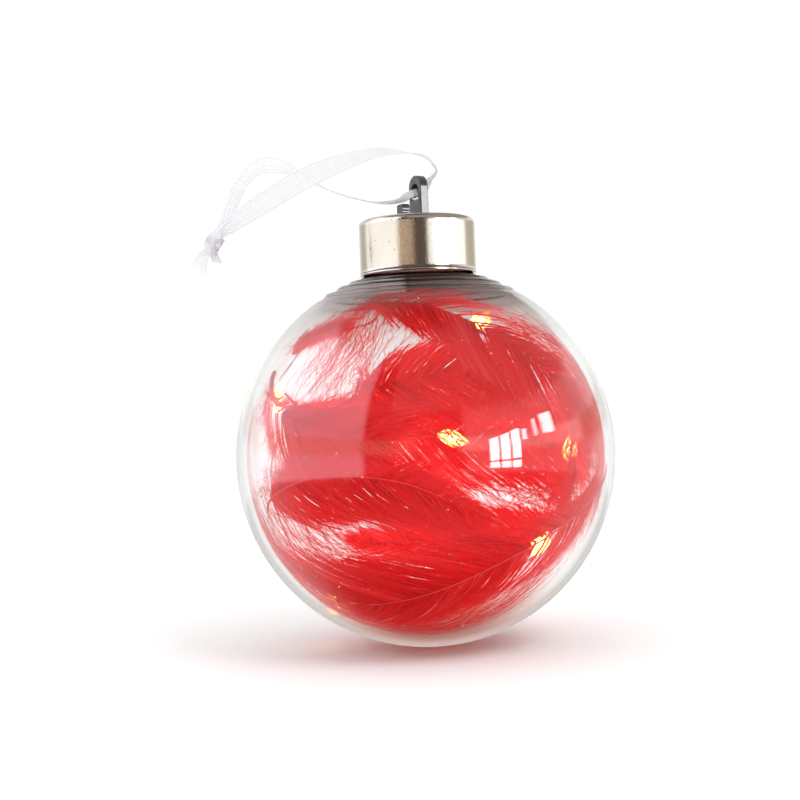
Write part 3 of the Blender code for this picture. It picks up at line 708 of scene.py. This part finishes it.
def hides_lamp(points):
    """Whether a barb lies across a lamp as the ball is seen from its front."""
    for centre, direction in DROPS:
        for offset in (0.0, 1.9):
            spot = np.array(centre) + unit(np.array(direction)) * offset
            sight = unit(FRONT - spot)
            ahead = (points - spot) @ sight
            beside = np.linalg.norm(points - spot - ahead[:, None] * sight, axis=1)
            if np.any((beside < SIGHT_GAP) & (ahead > 0)):
                return True
    return False


class Feather:
    """Barbs, barbules and quill of one feather that lies along the ball's inside."""

    def __init__(self, number, stops, shell, widths):
        self.number, self.shell, self.widths = number, shell, widths
        self.random = np.random.default_rng(100 + number)
        self.shaft = unit(curve_through([on_sphere(*s) for s in stops], SHAFT_STEPS + 1))
        self.ahead = ahead_of(self.shaft)
        self.side = unit(np.cross(self.shaft, self.ahead))
        self.length = travelled(self.shaft)[-1] * shell
        self.sheet = Sheet()

    def barb_path(self, share, hand, reach, twist, fluffy, steps=10):
        """Centre line of one barb on the ball's inside, its direction and its crosswise direction."""
        rand = self.random
        bare = BARE.get(self.number, BARE_USUAL)
        index = min(SHAFT_STEPS, int((bare + (1 - bare) * share) * SHAFT_STEPS))
        base, ahead, side = self.shaft[index], self.ahead[index], self.side[index] * hand
        width = vane_edge(share, *self.widths[0 if hand < 0 else 1]) * reach
        lean = 1.0 / math.tan(math.radians(BARB_LEAN - LEAN_CLOSES * share + twist))
        q = np.linspace(0.0, 1.0, steps)
        wave = (0.24 + 0.9 * fluffy) * q * np.sin(q * 8 + rand.uniform(0, 6))
        lateral = width * q * (1 - 0.12 * q) + wave * 0.6
        forward = width * (lean * q + 0.25 * q * q) + rand.normal(0, 0.9 + 1.4 * fluffy) * q ** 2 + wave
        points = unit(base + (side * lateral[:, None] + ahead * forward[:, None]) / self.shell)
        along = ahead_of(points)
        return points, along, unit(np.cross(points, along)), q

    def kept_points(self, points):
        """How many points of a barb stay, from its root; none for most that would hide a lamp."""
        if hides_lamp(points) and self.random.random() < LAMP_CLEARED:
            return 0
        below_neck = points[:, 2] < NECK_SHADE + self.random.normal(0, 0.7)
        if below_neck.sum() < FEWEST_POINTS:
            return 0
        whole = below_neck.all() or not below_neck[0]
        return len(points) if whole else int(np.argmin(below_neck))

    def barb(self, share, hand, layer, clump):
        rand = self.random
        fluffy = math.exp(-share / 0.14) + 0.3 * math.exp(-(1 - share) / 0.12)
        reach = clump[0] * rand.normal(1.0, 0.07)
        points, along, across, q = self.barb_path(share, hand, reach, clump[1] + rand.normal(0, 4.0), fluffy)
        depth = 0.05 + 0.28 * layer + 0.20 * rand.random() + 0.7 * fluffy * q * rand.random()
        points = points * np.reshape(self.shell - depth, (-1, 1))
        last = self.kept_points(points)
        if last < FEWEST_POINTS:
            return
        points, along, across, q = points[:last], along[:last], across[:last], q[:last]
        taper = 1 - (0.78 - 0.38 * layer) * q ** 1.5
        thick = (0.20 + 0.09 * layer) * (1.0 - 0.5 * min(fluffy, 1.0)) * taper + 0.012
        tone = np.clip(0.08 + clump[2] + 0.62 * rand.random() + 0.30 * q ** 2, 0, 1)
        self.sheet.strip(points, across, thick, tone)
        self.barbules(points, along, across, tone, fluffy)

    def barbules(self, points, along, across, tone, fluffy):
        rand = self.random
        count = int(16 + 16 * min(fluffy, 1.0))
        spot = rand.uniform(0.2, 1.0, count) * (len(points) - 1)
        low = np.minimum(spot.astype(int), len(points) - 2)
        part = (spot - low)[:, None]
        roots = points[low] * (1 - part) + points[low + 1] * part
        hand = np.where(rand.random(count) < 0.5, -1.0, 1.0)[:, None]
        reach = rand.uniform(0.6, 1.7, count)[:, None] * (1 + 0.8 * min(fluffy, 1.0))
        aside = along[low] * rand.uniform(0.6, 1.1, count)[:, None] + across[low] * hand * 0.6
        tips = roots + aside * reach
        tips -= unit(roots) * rand.uniform(0.0, 0.3, count)[:, None]
        self.sheet.spikes(roots, tips, across[low], BARBULE_HALF_WIDTH, np.clip(tone[low] + 0.12, 0, 1))

    def down(self, count):
        """Fine stray hairs that start anywhere on the vane and stand out past its edges."""
        rand = self.random
        for _ in range(count):
            share, hand = rand.random(), rand.choice((-1.0, 1.0))
            reach = rand.uniform(0.9, 1.30)
            path, along, across, q = self.barb_path(share, hand, reach, rand.normal(0, 9.0), 0.9, 14)
            first = rand.integers(0, 6)
            path, along, across, q = path[first:], along[first:], across[first:], q[first:]
            lift = rand.uniform(-0.9, HAIR_REACH_R - self.shell)
            path = path * np.reshape(self.shell - 0.05 + lift * q, (-1, 1))
            self.sheet.strip(path, across, 0.045 * (1 - 0.75 * q) + 0.008, 0.5 + 0.4 * rand.random())
            self.barbules(path, along, across, np.full(len(path), 0.7), 0.8)

    def stray(self, route, spread, thick):
        """A loose barb that has come away from its neighbours and lies near a route."""
        rand = self.random
        shift = rand.normal(0, spread, 2)
        bend = rand.normal(0, spread * 0.45, (len(route), 2))
        stops = [on_sphere(lon + shift[0] + b[0], lat + shift[1] * 0.7 + b[1])
                 for (lon, lat), b in zip(route, bend)]
        radius = OUTER_SHELL - 0.1 - 0.4 * rand.random()
        tone = 0.25 + 0.4 * rand.random()
        path = unit(curve_through(stops, 26))
        along = ahead_of(path)
        across = unit(np.cross(path, along))
        q = np.linspace(0, 1, len(path))
        self.sheet.strip(path * radius, across, thick * (1 - 0.7 * q) + 0.01, tone)
        self.barbules(path * radius, along, across, np.full(len(path), tone), 0.5)

    def build(self):
        per_side = int(self.length * 0.87 / BARB_PITCH)
        for hand, layer in ((-1.0, 0), (1.0, 0), (-1.0, 1), (1.0, 1)):
            clump, left = None, 0
            for j in range(0, per_side, 1 + layer):
                if left <= 0:
                    left = int(self.random.integers(5, 15))
                    clump = [self.random.normal(*usual) for usual in CLUMPS]
                left -= 1
                self.barb((j + 0.5) / per_side, hand, layer, clump)
        hairs = BACK_DOWN_PER_MM if self.number in BACK_FEATHERS else DOWN_PER_MM
        self.down(int(self.length * hairs))
        if self.number in RIDGED_FEATHERS:
            ridge = evenly(self.shaft[:-RIDGE_SHORT] * (self.shell + 0.22), 60)
            q = np.linspace(0, 1, 60)
            self.sheet.tube(ridge, 0.24 * np.minimum(0.3 + 7 * q, 1.0) * (1 - 0.8 * q ** 0.6) + 0.03, 8, 0.97)
        barbs = self.sheet.build(f"feather_{self.number}_barbs", FEATHER, smooth=False)
        give(barbs, "ball", "feather_red", f"feather_{self.number}_vane")
        self.build_quill()

    def build_quill(self):
        path = evenly(self.shaft[:-QUILL_SHORT] * (self.shell - QUILL_DEPTH), 60)
        q = np.linspace(0, 1, 60)
        thick = 0.52 * np.minimum(0.25 + 9 * q, 1.0) * (1 - 0.80 * q ** 0.8) + 0.03
        if self.number == BARE_QUILL:
            thick = 0.50 * (1 - 0.82 * np.clip((q - 0.22) / 0.1, 0, 1)) * (1 - 0.5 * q)
        quill = Sheet()
        quill.tube(path, thick, 10)
        made = quill.build(f"feather_{self.number}_shaft", QUILL)
        give(made, "ball", "quill", f"feather_{self.number}_quill")


# Loose strands by feather: route, how many, how far they stray from it in degrees, half width.
LOOSE = {
    1: (
        (((-26, -47), (-50, -42), (-66, -28), (-76, -8)), 44, 5.0, 0.085),
        (((5, -30), (-14, -33), (-34, -28), (-50, -20)), 26, 6.0, 0.06),
        (((24, -48), (8, -57), (-12, -63), (-34, -62)), 60, 6.0, 0.06),
        (((48, -36), (40, -48), (24, -60), (-2, -68)), 50, 6.0, 0.06),
        (((-78, -38), (-60, -52), (-34, -62), (4, -66)), 80, 7.0, 0.06),
        (((-84, -20), (-78, -36), (-66, -50), (-40, -58)), 60, 6.0, 0.06),
    ),
    2: (
        (((-66, -20), (-60, -32), (-46, -42), (-26, -48)), 100, 7.0, 0.06),
        (((-44, -16), (-34, -28), (-20, -38), (0, -44)), 60, 7.0, 0.05),
    ),
    3: (
        (((-34, 52), (-33, 44), (-34, 34), (-40, 24)), 44, 5.0, 0.05),
        (((-22, 50), (-22, 42), (-25, 32), (-29, 22)), 40, 5.0, 0.05),
        (((44, 42), (58, 34), (70, 22), (78, 6)), 90, 6.0, 0.06),
    ),
    5: (
        (((18, -2), (28, -8), (38, -12), (48, -20)), 60, 7.0, 0.06),
        (((46, 8), (38, -2), (32, -10), (34, -20)), 50, 8.0, 0.05),
        (((66, 36), (74, 22), (79, 6), (78, -10)), 120, 7.0, 0.07),
        (((60, 12), (70, 2), (76, -10), (80, -24)), 110, 8.0, 0.07),
    ),
    6: (
        (((-76, 18), (-78, 4), (-74, -10), (-70, -24)), 34, 4.0, 0.06),
    ),
    9: (
        (((-8, 20), (4, 12), (16, 5), (30, -2)), 40, 6.0, 0.06),
        (((22, 22), (18, 12), (8, 4), (-2, -4)), 24, 6.0, 0.05),
    ),
}


def build_feathers():
    for number, (stops, shell, widths) in enumerate(FEATHERS, start=1):
        feather = Feather(number, stops, shell, widths)
        for route, count, spread, thick in LOOSE.get(number, ()):
            for _ in range(count):
                feather.stray(route, spread, thick)
        feather.build()


build_feathers()

# ---- light string
DROP_LENGTH, DROP_R, DROP_TIP_R = 6.6, 1.65, 0.22
# One of the two fine wires: its radius, its distance from their middle, the length over which they
# turn by one radian, and the distance between its rings of points.
WIRE_R, WIRE_OFFSET, WIRE_TURN, WIRE_STEP = 0.13, 0.15, 2.6, 0.55
LEAD = ((-4.0, -3.0, 40.0), (-4.1, -3.3, 38.2), (-5.0, -6.5, 35.2), (-6.9, -12.9, 30.9))
WIRES = (
    ((-7.3, -13.8, 30.3), (-9.7, -16.6, 27.6), (-15.0, -16.0, 26.2), (-20.8, -10.6, 25.0),
     (-25.0, -4.8, 23.4), (-28.4, -1.0, 20.0)),
    ((-31.9, 3.6, 4.7), (-33.6, 4.6, -1.8), (-32.6, 6.0, -12.0), (-28.4, 6.2, -22.0)),
    ((-8.0, -5.0, -31.0), (8.0, -12.0, -27.5)),
    ((28.2, -10.5, -8.6),),
    ((28.2, -8.5, 8.0), (21.5, -18.5, 10.0), (13.0, -24.6, 6.0)),
    ((-2.0, -26.6, 8.5), (1.0, -24.6, 16.0)),
)


def drop_end(drop, end):
    """Two points where a wire runs into one end of a drop, from the inside outwards."""
    centre, direction = np.array(drop[0]), unit(np.array(drop[1]))
    return [centre + direction * end * (DROP_LENGTH / 2 + extra) for extra in (-0.8, 0.6)]


def twin(name, stops):
    """Two fine wires side by side that wind slowly round each other."""
    path = curve_through(stops, 120)
    length = travelled(path)[-1]
    path = evenly(path, max(16, int(length / WIRE_STEP)))
    ahead = ahead_of(path)
    sheet = Sheet()
    u = unit(np.cross(ahead, np.array((0.23, 0.31, 0.92))))
    v = np.cross(ahead, u)
    turn = np.linspace(0, length / WIRE_TURN, len(path))[:, None]
    for phase in (0.0, math.pi):
        shift = (u * np.cos(turn + phase) + v * np.sin(turn + phase)) * WIRE_OFFSET
        sheet.tube(path + shift, WIRE_R, 6)
    return sheet.build(name, WIRE)


def build_string():
    for k, stops in enumerate(WIRES):
        path = list(stops) + drop_end(DROPS[k], -1)[::-1]
        if k > 0:
            path = drop_end(DROPS[k - 1], 1) + path
        wire = twin(f"twin_wire_{k + 1}", path)
        give(wire, "ball", "silver_wire", f"string_wire_{k + 1}")
    lead = twin("twin_wire_lead", LEAD)
    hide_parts("led_lead")
    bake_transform(lead)
    for k, drop in enumerate(DROPS):
        build_drop(k + 1, drop)


def build_drop(number, drop):
    """Cast epoxy drop, swollen and a little lopsided, with a lit chip inside; the string's wires run into its
    tips.
    """
    half = DROP_LENGTH / 2
    profile = [(0.0, -half)]
    for i in range(1, 24):
        share = i / 24
        swell = math.sin(math.pi * share ** 1.08) ** 1.15
        profile.append((DROP_TIP_R + (DROP_R - DROP_TIP_R) * swell, half * (2 * share - 1)))
    profile.append((0.0, half))
    points, faces = turned(profile, 20, 0.86)
    points = [(x + 0.12 * math.sin(z * 1.3), y, z) for x, y, z in points]
    shell = body(f"epoxy_drop_{number}", aimed(points, *drop), faces, LAMP, 80.0)
    give(shell, "ball", "lamp_epoxy", f"led_drop_{number}")
    points, faces = stacked([(0.35, 0.25, -0.6), (0.35, 0.25, 0.6)])
    chip = body(f"lamp_chip_{number}", aimed(points, *drop), faces, CHIP, 30.0)
    give(chip, "ball", "lamp_chip", f"led_chip_{number}")


build_string()

# ---- ribbon
# Stops: position from the row frame's origin (three numbers), width direction (three), width.
RIBBON_WIDTH = 5.0
FRONT_STOPS = (
    (0.22, 0.12, -1.72, 0, 0, 1, 2.0), (0.78, 0.45, -1.56, -0.43, -0.25, 0.87, 2.0),
    (1.35, 0.78, -1.05, -0.72, -0.41, 0.56, 2.0), (1.86, 1.08, 0.0, -0.87, -0.5, 0, 1.9),
    (2.4, 1.36, 1.0, -0.7, 0.3, 0, 1.7), (3.5, 1.5, 2.0, -0.35, 0.85, 0.1, 1.9),
    (3.9, 0.9, 3.3, 0, 1, 0, 2.8), (1.7, -0.4, 5.7, 0, 1, 0.05, 4.4),
    (-2.4, -1.6, 6.6, 0, 0.97, 0.22, RIBBON_WIDTH), (-8.8, -2.6, 6.7, 0.1, 0.8, 0.6, RIBBON_WIDTH),
    (-17.3, -3.2, 4.3, -0.25, 0.5, 0.85, 4.9), (-24.7, -3.2, 1.3, -0.4, 0.2, 0.9, 4.8),
    (-32.1, -2.6, -2.5, -0.5, 0.1, 0.85, 4.6), (-38.9, -1.6, -6.6, -0.55, 0.2, 0.8, 3.6),
    (-42.5, -1.0, -9.1, -0.6, 0.2, 0.7, 2.0),
)
BACK_STOPS = (
    (-0.22, -0.12, -1.72, 0, 0, -1, 2.0), (-1.9, -0.9, -2.3, -0.1, -0.2, -1, 2.0),
    (-4.4, -1.0, -3.5, -0.15, 0.85, -0.25, 2.3), (-8.0, -0.1, -3.7, 0, 1, 0.05, 3.6),
    (-11.8, 1.2, -2.8, 0, 1, 0.1, RIBBON_WIDTH), (-17.8, 2.6, -0.6, 0, 1, 0.1, RIBBON_WIDTH),
    (-21.8, 3.4, 1.4, 0, 1, 0.25, RIBBON_WIDTH), (-25.4, 3.6, 3.8, -0.1, 0.9, 0.4, RIBBON_WIDTH),
    (-28.7, 3.4, 5.3, -0.1, 0.7, 0.7, 4.8), (-32.3, 2.8, 5.9, -0.1, 0.45, 0.9, 4.2),
    (-35.9, 2.3, 4.5, -0.6, 0.35, 0.7, 3.7), (-38.4, 2.0, 1.5, -0.9, 0.3, 0.3, 3.3),
    (-40.2, 1.8, -2.6, -0.9, 0.3, 0.1, 2.8), (-42.9, 1.0, -8.0, -0.8, 0.2, -0.2, 2.0),
)
TAIL_1_STOPS = ((-45.5, -1.2, -12.6, -0.9, 0.2, 0.3, 2.4), (-46.9, -1.5, -15.0, -0.9, 0.2, 0.2, 4.0),
                (-47.5, -2.0, -17.3, -0.9, 0.2, -0.1, 4.4))
TAIL_2_STOPS = ((-44.3, 0.9, -12.8, -0.8, 0.2, -0.2, 2.0), (-43.7, 1.3, -15.4, -0.9, 0.2, -0.2, 3.0))
ROW_ORIGIN = np.array((EYE_X, EYE_Y, EYE_HOLE_TOP))
RIBBON_STEPS = 260
WARPS, WARP_HALF_WIDTH = 17, 0.075
WEFT_PITCH, WEFT_HALF_WIDTH = 0.215, 0.058
EDGE_THREAD_R = 0.085


class Ribbon:
    """Open weave of warp and weft threads between two dense woven edges; a slant cuts its far end."""

    def __init__(self, stops, seed, slant=0.0):
        self.random = np.random.default_rng(seed)
        raw = curve_through(stops, RIBBON_STEPS)
        self.length = travelled(raw)[-1]
        even = evenly(raw, RIBBON_STEPS)
        self.centre, side = even[:, :3], even[:, 3:6]
        self.ahead = ahead_of(self.centre)
        self.side = unit(side - self.ahead * (side * self.ahead).sum(1, keepdims=True))
        self.face = np.cross(self.ahead, self.side)
        self.loosened = np.clip((np.linspace(0, self.length, RIBBON_STEPS) - 2.0) / 5.0, 0.0, 1.0)
        self.width = even[:, 6] * (0.72 + 0.28 * self.loosened)
        self.slant = slant
        self.sheet = Sheet(ROW_ORIGIN)

    def at(self, index, across):
        """Points on the ribbon; narrow stretches gather into small folds."""
        tight = np.clip(1 - self.width[index] / RIBBON_WIDTH, 0, 1)
        fold = 0.55 * tight * np.sin(across * 14 + 1.0) + 0.10 * np.sin(across * 3 + index * 0.05)
        fold *= 0.15 + 0.85 * self.loosened[index]
        return (self.centre[index] + self.side[index] * (across * self.width[index] / 2)[:, None]
                + self.face[index] * fold[:, None] * 0.8)

    def thread(self, across, inset=0.0):
        """Points along the ribbon, and the steps they stand at, up to the slanted end."""
        last = RIBBON_STEPS - 1
        steps = np.arange(last + 1 - int(self.slant * (across + 1) / 2 * last))
        return self.at(steps, np.full(len(steps), across * (1 - inset))), steps

    def build(self, name):
        last = RIBBON_STEPS - 1
        for across in np.linspace(-0.84, 0.84, WARPS):
            line, steps = self.thread(across)
            tone = 0.45 + 0.35 * self.random.random()
            self.sheet.strip(line, self.side[steps], WARP_HALF_WIDTH, tone)
        count = int(self.length / WEFT_PITCH)
        for j in range(count):
            spot = (j + 0.5) / count * last
            reach = np.linspace(-0.97, 0.97, 12)
            reach = reach[spot <= last * (1 - self.slant * (reach + 1) / 2)]
            if len(reach) < 2:
                continue
            index = np.full(len(reach), min(last, int(round(spot + self.random.uniform(-0.3, 0.3)))))
            tone = 0.4 + 0.4 * self.random.random()
            self.sheet.strip(self.at(index, reach), self.ahead[index], WEFT_HALF_WIDTH, tone)
        for edge in (-1.0, 1.0):
            for inset in (0.03, 0.10):
                self.sheet.tube(self.thread(edge, inset)[0], EDGE_THREAD_R, 5, 0.95)
        return self.sheet.build(name, ORGANZA, smooth=False)


def build_knot():
    """Pulled-tight overhand knot: a creased core with two bands of ribbon laid round it."""
    start, end = np.array((-42.7, 0.0, -8.3)), np.array((-45.6, -0.1, -13.2))
    middle, half = (start + end) / 2, float(np.linalg.norm(end - start)) / 2
    sheet = Sheet(ROW_ORIGIN)
    rings, sides = 18, 28
    points = []
    for i in range(rings + 1):
        share = i / rings
        swell = 0.95 + 0.75 * math.sin(math.pi * share) ** 1.4
        for k in range(sides):
            angle = 2 * math.pi * k / sides
            crease = 1 + 0.10 * math.sin(5 * angle + 6 * share) + 0.06 * math.sin(11 * angle - 9 * share)
            radius = swell * crease
            points.append((radius * math.cos(angle), radius * math.sin(angle), half * (2 * share - 1)))
    laid = [tuple(p) for p in aimed(points, middle, end - start)]
    sheet.add(laid, ring_faces(rings + 1, sides), 1.0)
    for tilt, offset, size in ((0.6, -0.5, 1.72), (-0.55, 0.6, 1.66)):
        angles = np.linspace(0, 2 * math.pi, 41)
        across, up = size * np.cos(angles), size * np.sin(angles)
        ring = np.stack([across, up, offset + tilt * np.cos(angles)], axis=1)
        for shift in np.linspace(-0.5, 0.5, 6):
            band = [tuple(p) for p in aimed(ring + np.array((0, 0, shift)), middle, end - start)]
            sheet.tube(np.array(band), 0.10, 5, 0.95)
    return sheet.build("organza_knot", ORGANZA)


def build_ribbon():
    knot = give(build_knot(), "ribbon", "organza", "ribbon_knot")
    tails = []
    for number, stops, slant in ((1, TAIL_1_STOPS, 0.28), (2, TAIL_2_STOPS, 0.4)):
        tail = Ribbon(stops, 40 + number, slant).build(f"organza_tail_{number}")
        tails.append(give(tail, "ribbon", "organza", f"ribbon_tail_{number}"))
    cords = (("front", FRONT_STOPS, 50, [knot, *tails]), ("back", BACK_STOPS, 51, [knot]))
    for name, stops, seed, pieces in cords:
        ribbon = Ribbon(stops, seed)
        made = give(ribbon.build(f"organza_{name}"), "ribbon", "organza", f"ribbon_{name}")


build_ribbon()

# ---- specks on the glass
# How many places are tried for a speck, and the height, as a share of the radius, above which none is.
SPECK_TRIES, SPECK_TOP = 110, 0.86


def build_seeds():
    """Small bright specks on the ball's skin."""
    rand = np.random.default_rng(7)
    sheet = Sheet()
    ball = bmesh.new()
    bmesh.ops.create_icosphere(ball, subdivisions=1, radius=1.0)
    points = np.array([v.co for v in ball.verts])
    faces = [[v.index for v in f.verts] for f in ball.faces]
    ball.free()
    for _ in range(SPECK_TRIES):
        direction = unit(rand.normal(size=3))
        if direction[2] > SPECK_TOP:
            continue
        size = 0.06 + 0.12 * rand.random() ** 3
        sheet.add(points * size + direction * (BALL_R + 0.02), faces, 0.9)
    seeds = sheet.build("glass_surface_specks", SPECK)
    give(seeds, "ball", "clear_glass")


build_seeds()

# ---- floor, studio room and lights


def smooth(low, high, value):
    t = clamped((value - low) / (high - low))
    return t * t * (3 - 2 * t)


def blend_colour(a, b, share):
    return tuple(x + (y - x) * share for x, y in zip(a, b))


# Stops: azimuth in degrees from the front, + to the right, and the light from there. The first list
# is the band that the upright cap mirrors, the second is what the ball mirrors above and below it.
BAND_STOPS = (
    (-180, (1.4, 1.4, 1.4)), (-160, (1.2, 1.17, 1.13)), (-140, (0.66, 0.64, 0.60)),
    (-122, (0.72, 0.68, 0.62)), (-116, (1.40, 1.38, 1.34)), (-40, (1.50, 1.46, 1.38)),
    (-35, (0.85, 0.66, 0.48)), (-10, (0.68, 0.51, 0.37)), (-3, (0.15, 0.11, 0.085)),
    (18, (0.16, 0.12, 0.10)), (23, (1.7, 1.7, 1.7)), (104, (1.75, 1.75, 1.72)),
    (112, (0.74, 0.67, 0.57)), (140, (0.62, 0.56, 0.49)), (160, (1.1, 1.08, 1.04)), (180, (1.4, 1.4, 1.4)),
)
WALL_STOPS = (
    (-180, (0.9, 0.9, 0.9)), (-125, (0.95, 0.95, 0.95)), (-112, (1.75, 1.75, 1.95)),
    (-38, (1.75, 1.75, 1.95)), (-35, (0.14, 0.11, 0.10)), (22, (0.14, 0.12, 0.11)),
    (26, (0.75, 0.75, 0.75)), (100, (0.9, 0.9, 0.9)), (125, (1.0, 1.0, 1.0)), (180, (1.0, 1.0, 1.0)),
)
ABOVE_WALLS = (0.42, 0.39, 0.37)
CEILING = (0.10, 0.085, 0.08)
TABLE = (0.15, 0.135, 0.13)
TABLE_NEAR = (0.10, 0.05, 0.045)
TABLE_SIDE = (0.75, 0.72, 0.70)
ROOM_R, WINDOW_R = 3.0, 2.9
WHITE = (1.0, 1.0, 1.0, 1.0)
# Corners of one pane within its share of the window; the rest is glazing bar.
PANE = ((0.10, 0.05), (0.90, 0.05), (0.90, 0.95), (0.10, 0.95))
FLOOR_GAP = 0.0002


def between(stops, azimuth):
    for (a, first), (b, second) in zip(stops, stops[1:]):
        if a <= azimuth <= b:
            return blend_colour(first, second, (azimuth - a) / (b - a))


def room_colour(azimuth, elevation):
    """Light the room sends from a direction; azimuth 0 is the front, + to the right."""
    band = smooth(2.5, 3.8, elevation) * (1 - smooth(10.5, 12.5, elevation))
    wall = blend_colour(between(WALL_STOPS, azimuth), between(BAND_STOPS, azimuth), band)
    top = 52 if azimuth < -20 else 24
    above = blend_colour(wall, ABOVE_WALLS, smooth(top, top + 6, elevation))
    above = blend_colour(above, CEILING, smooth(68, 84, elevation))
    table = blend_colour(TABLE, TABLE_NEAR, smooth(35, 75, -elevation))
    table = blend_colour(table, TABLE_SIDE, smooth(65, 110, abs(azimuth)) * (1 - smooth(30, 60, -elevation)))
    return blend_colour(table, above, smooth(-9.5, -7.5, elevation))


def mirrored_only(g, plain, mirrored):
    """Show one shader in mirror reflections and another everywhere else."""
    light_path = g.node("ShaderNodeLightPath")
    step = g.node("ShaderNodeMath", {0: light_path.outputs["Glossy Depth"], 1: 0.5}, operation="GREATER_THAN")
    g.output(step.outputs["Value"], plain, mirrored)


def transparent(g):
    return g.node("ShaderNodeBsdfTransparent").outputs["BSDF"]


def reflected(name, light_name, points, faces, strength, colours=None):
    """Mesh that glows in mirror reflections only, white or in a colour for each point."""
    mesh = bpy.data.meshes.new(name)
    mesh.from_pydata(points, [], faces)
    g = Graph(light_name)
    g.tree.nodes.remove(g.shader)
    glow = g.node("ShaderNodeEmission", {"Color": WHITE, "Strength": strength})
    if colours:
        paint = mesh.color_attributes.new("room", "FLOAT_COLOR", "POINT")
        paint.data.foreach_set("color", np.array(colours, np.float32).ravel())
        g.fill(glow, {"Color": g.node("ShaderNodeAttribute", attribute_name="room").outputs["Color"]})
    mirrored_only(g, transparent(g), glow.outputs["Emission"])
    mesh.materials.append(g.material)
    obj = linked(name, mesh)
    hide_from(obj, "camera", "diffuse", "shadow", "volume_scatter")
    return obj


def build_room():
    columns, rows = 240, 120
    points, colours = [], []
    for j in range(rows + 1):
        elevation = -90 + 180 * j / rows
        for i in range(columns + 1):
            azimuth = -180 + 360 * i / columns
            points.append(CENTRE + Vector(on_sphere(azimuth, elevation)) * ROOM_R)
            colours.append((*room_colour(azimuth, elevation), 1.0))
    faces = []
    for j in range(rows):
        for i in range(columns):
            corner = j * (columns + 1) + i
            faces.append((corner, corner + 1, corner + columns + 2, corner + columns + 1))
    room = reflected("studio_room", "room_light", points, faces, 1.0, colours)


def hide_from(obj, *rays):
    for ray in rays:
        setattr(obj, "visible_" + ray, False)


def build_window(name, az_range, el_range, strength, columns=1, rows=(0.0, 1.0), slope=0.0):
    """Window panes with glazing bars; their head rises by slope from left to right."""
    points, faces = [], []
    for i in range(columns):
        for low, high in zip(rows, rows[1:]):
            for a, b in PANE:
                across, up = (i + a) / columns, low + (high - low) * b
                azimuth = az_range[0] + (az_range[1] - az_range[0]) * across
                head = el_range[1] + slope * (across - 1)
                elevation = el_range[0] + (head - el_range[0]) * up
                points.append(CENTRE + Vector(on_sphere(azimuth, elevation)) * WINDOW_R)
            faces.append(tuple(range(len(points) - 4, len(points))))
    panes = reflected(name, name + "_light", points, faces, strength)


def build_floor():
    mesh = bpy.data.meshes.new("floor")
    low = CENTRE.z - BALL_R * MM - FLOOR_GAP
    mesh.from_pydata([(-4, -4, low), (4, -4, low), (4, 6, low), (-4, 6, low)], [], [(0, 1, 2, 3)])
    g = Graph("pale_floor", Roughness=0.9, Specular_IOR_Level=0.0)
    g.to("Base Color", g.ramp(g.noise(3.0), [(0.3, (0.95, 0.95, 0.95)), (0.7, (0.97, 0.97, 0.97))]))
    mirrored_only(g, g.shader.outputs["BSDF"], transparent(g))
    mesh.materials.append(g.material)
    floor = linked("floor", mesh)


def add_light(name, kind, place, watts, colour):
    """Light that is never seen itself, neither directly nor in glass or metal."""
    data = bpy.data.lights.new(name, kind)
    data.energy = watts
    data.color = colour
    light = linked(name, data)
    light.location = place
    hide_from(light, "glossy", "transmission", "camera")
    return light


def area_light(name, offset, size, watts, colour):
    """Square light, offset in metres from the ball's centre and aimed at it."""
    place = CENTRE + Vector(offset)
    light = add_light(name, "AREA", place, watts, colour)
    light.data.shape = "SQUARE"
    light.data.size = size
    light.rotation_euler = (CENTRE - place).to_track_quat("-Z", "Y").to_euler()


def inner_light(name, place, radius, watts, colour):
    add_light(name, "POINT", place, watts, colour).data.shadow_soft_size = radius * MM


def build_world():
    world_data = bpy.data.worlds.new("white_room")
    world_data.use_nodes = True
    background = world_data.node_tree.nodes["Background"]
    background.inputs["Color"].default_value = WHITE
    background.inputs["Strength"].default_value = 1.04
    scene.world = world_data


build_room()
build_window("studio_window_tall", (37, 58), (-6.5, 14.5), 22.0, 3, (0.0, 0.2, 1.0), 5.0)
build_window("studio_window_side", (73, 84.5), (8.5, 18.5), 12.0)
build_window("studio_window_slit", (67.5, 70.5), (8, 17), 10.0)
build_window("studio_window_narrow", (58.8, 62.6), (7, 13), 16.0)
build_floor()
build_world()
area_light("key_light", (0.55, -0.60, 0.75), 0.5, 3.5, (1.0, 0.98, 0.95))
area_light("fill_light", (-0.8, -0.3, 0.4), 0.6, 1.2, (0.96, 0.98, 1.0))
inner_light("inner_fill", CENTRE, 14.0, 0.035, (1.0, 0.96, 0.92))
for drop_number, (drop_centre, _) in enumerate(DROPS, start=1):
    inner_light(f"lamp_glow_{drop_number}", world(drop_centre), 2.2, 0.0022, (1.0, 0.78, 0.40))
scene.view_settings.view_transform = "Standard"
scene.view_settings.look = "None"
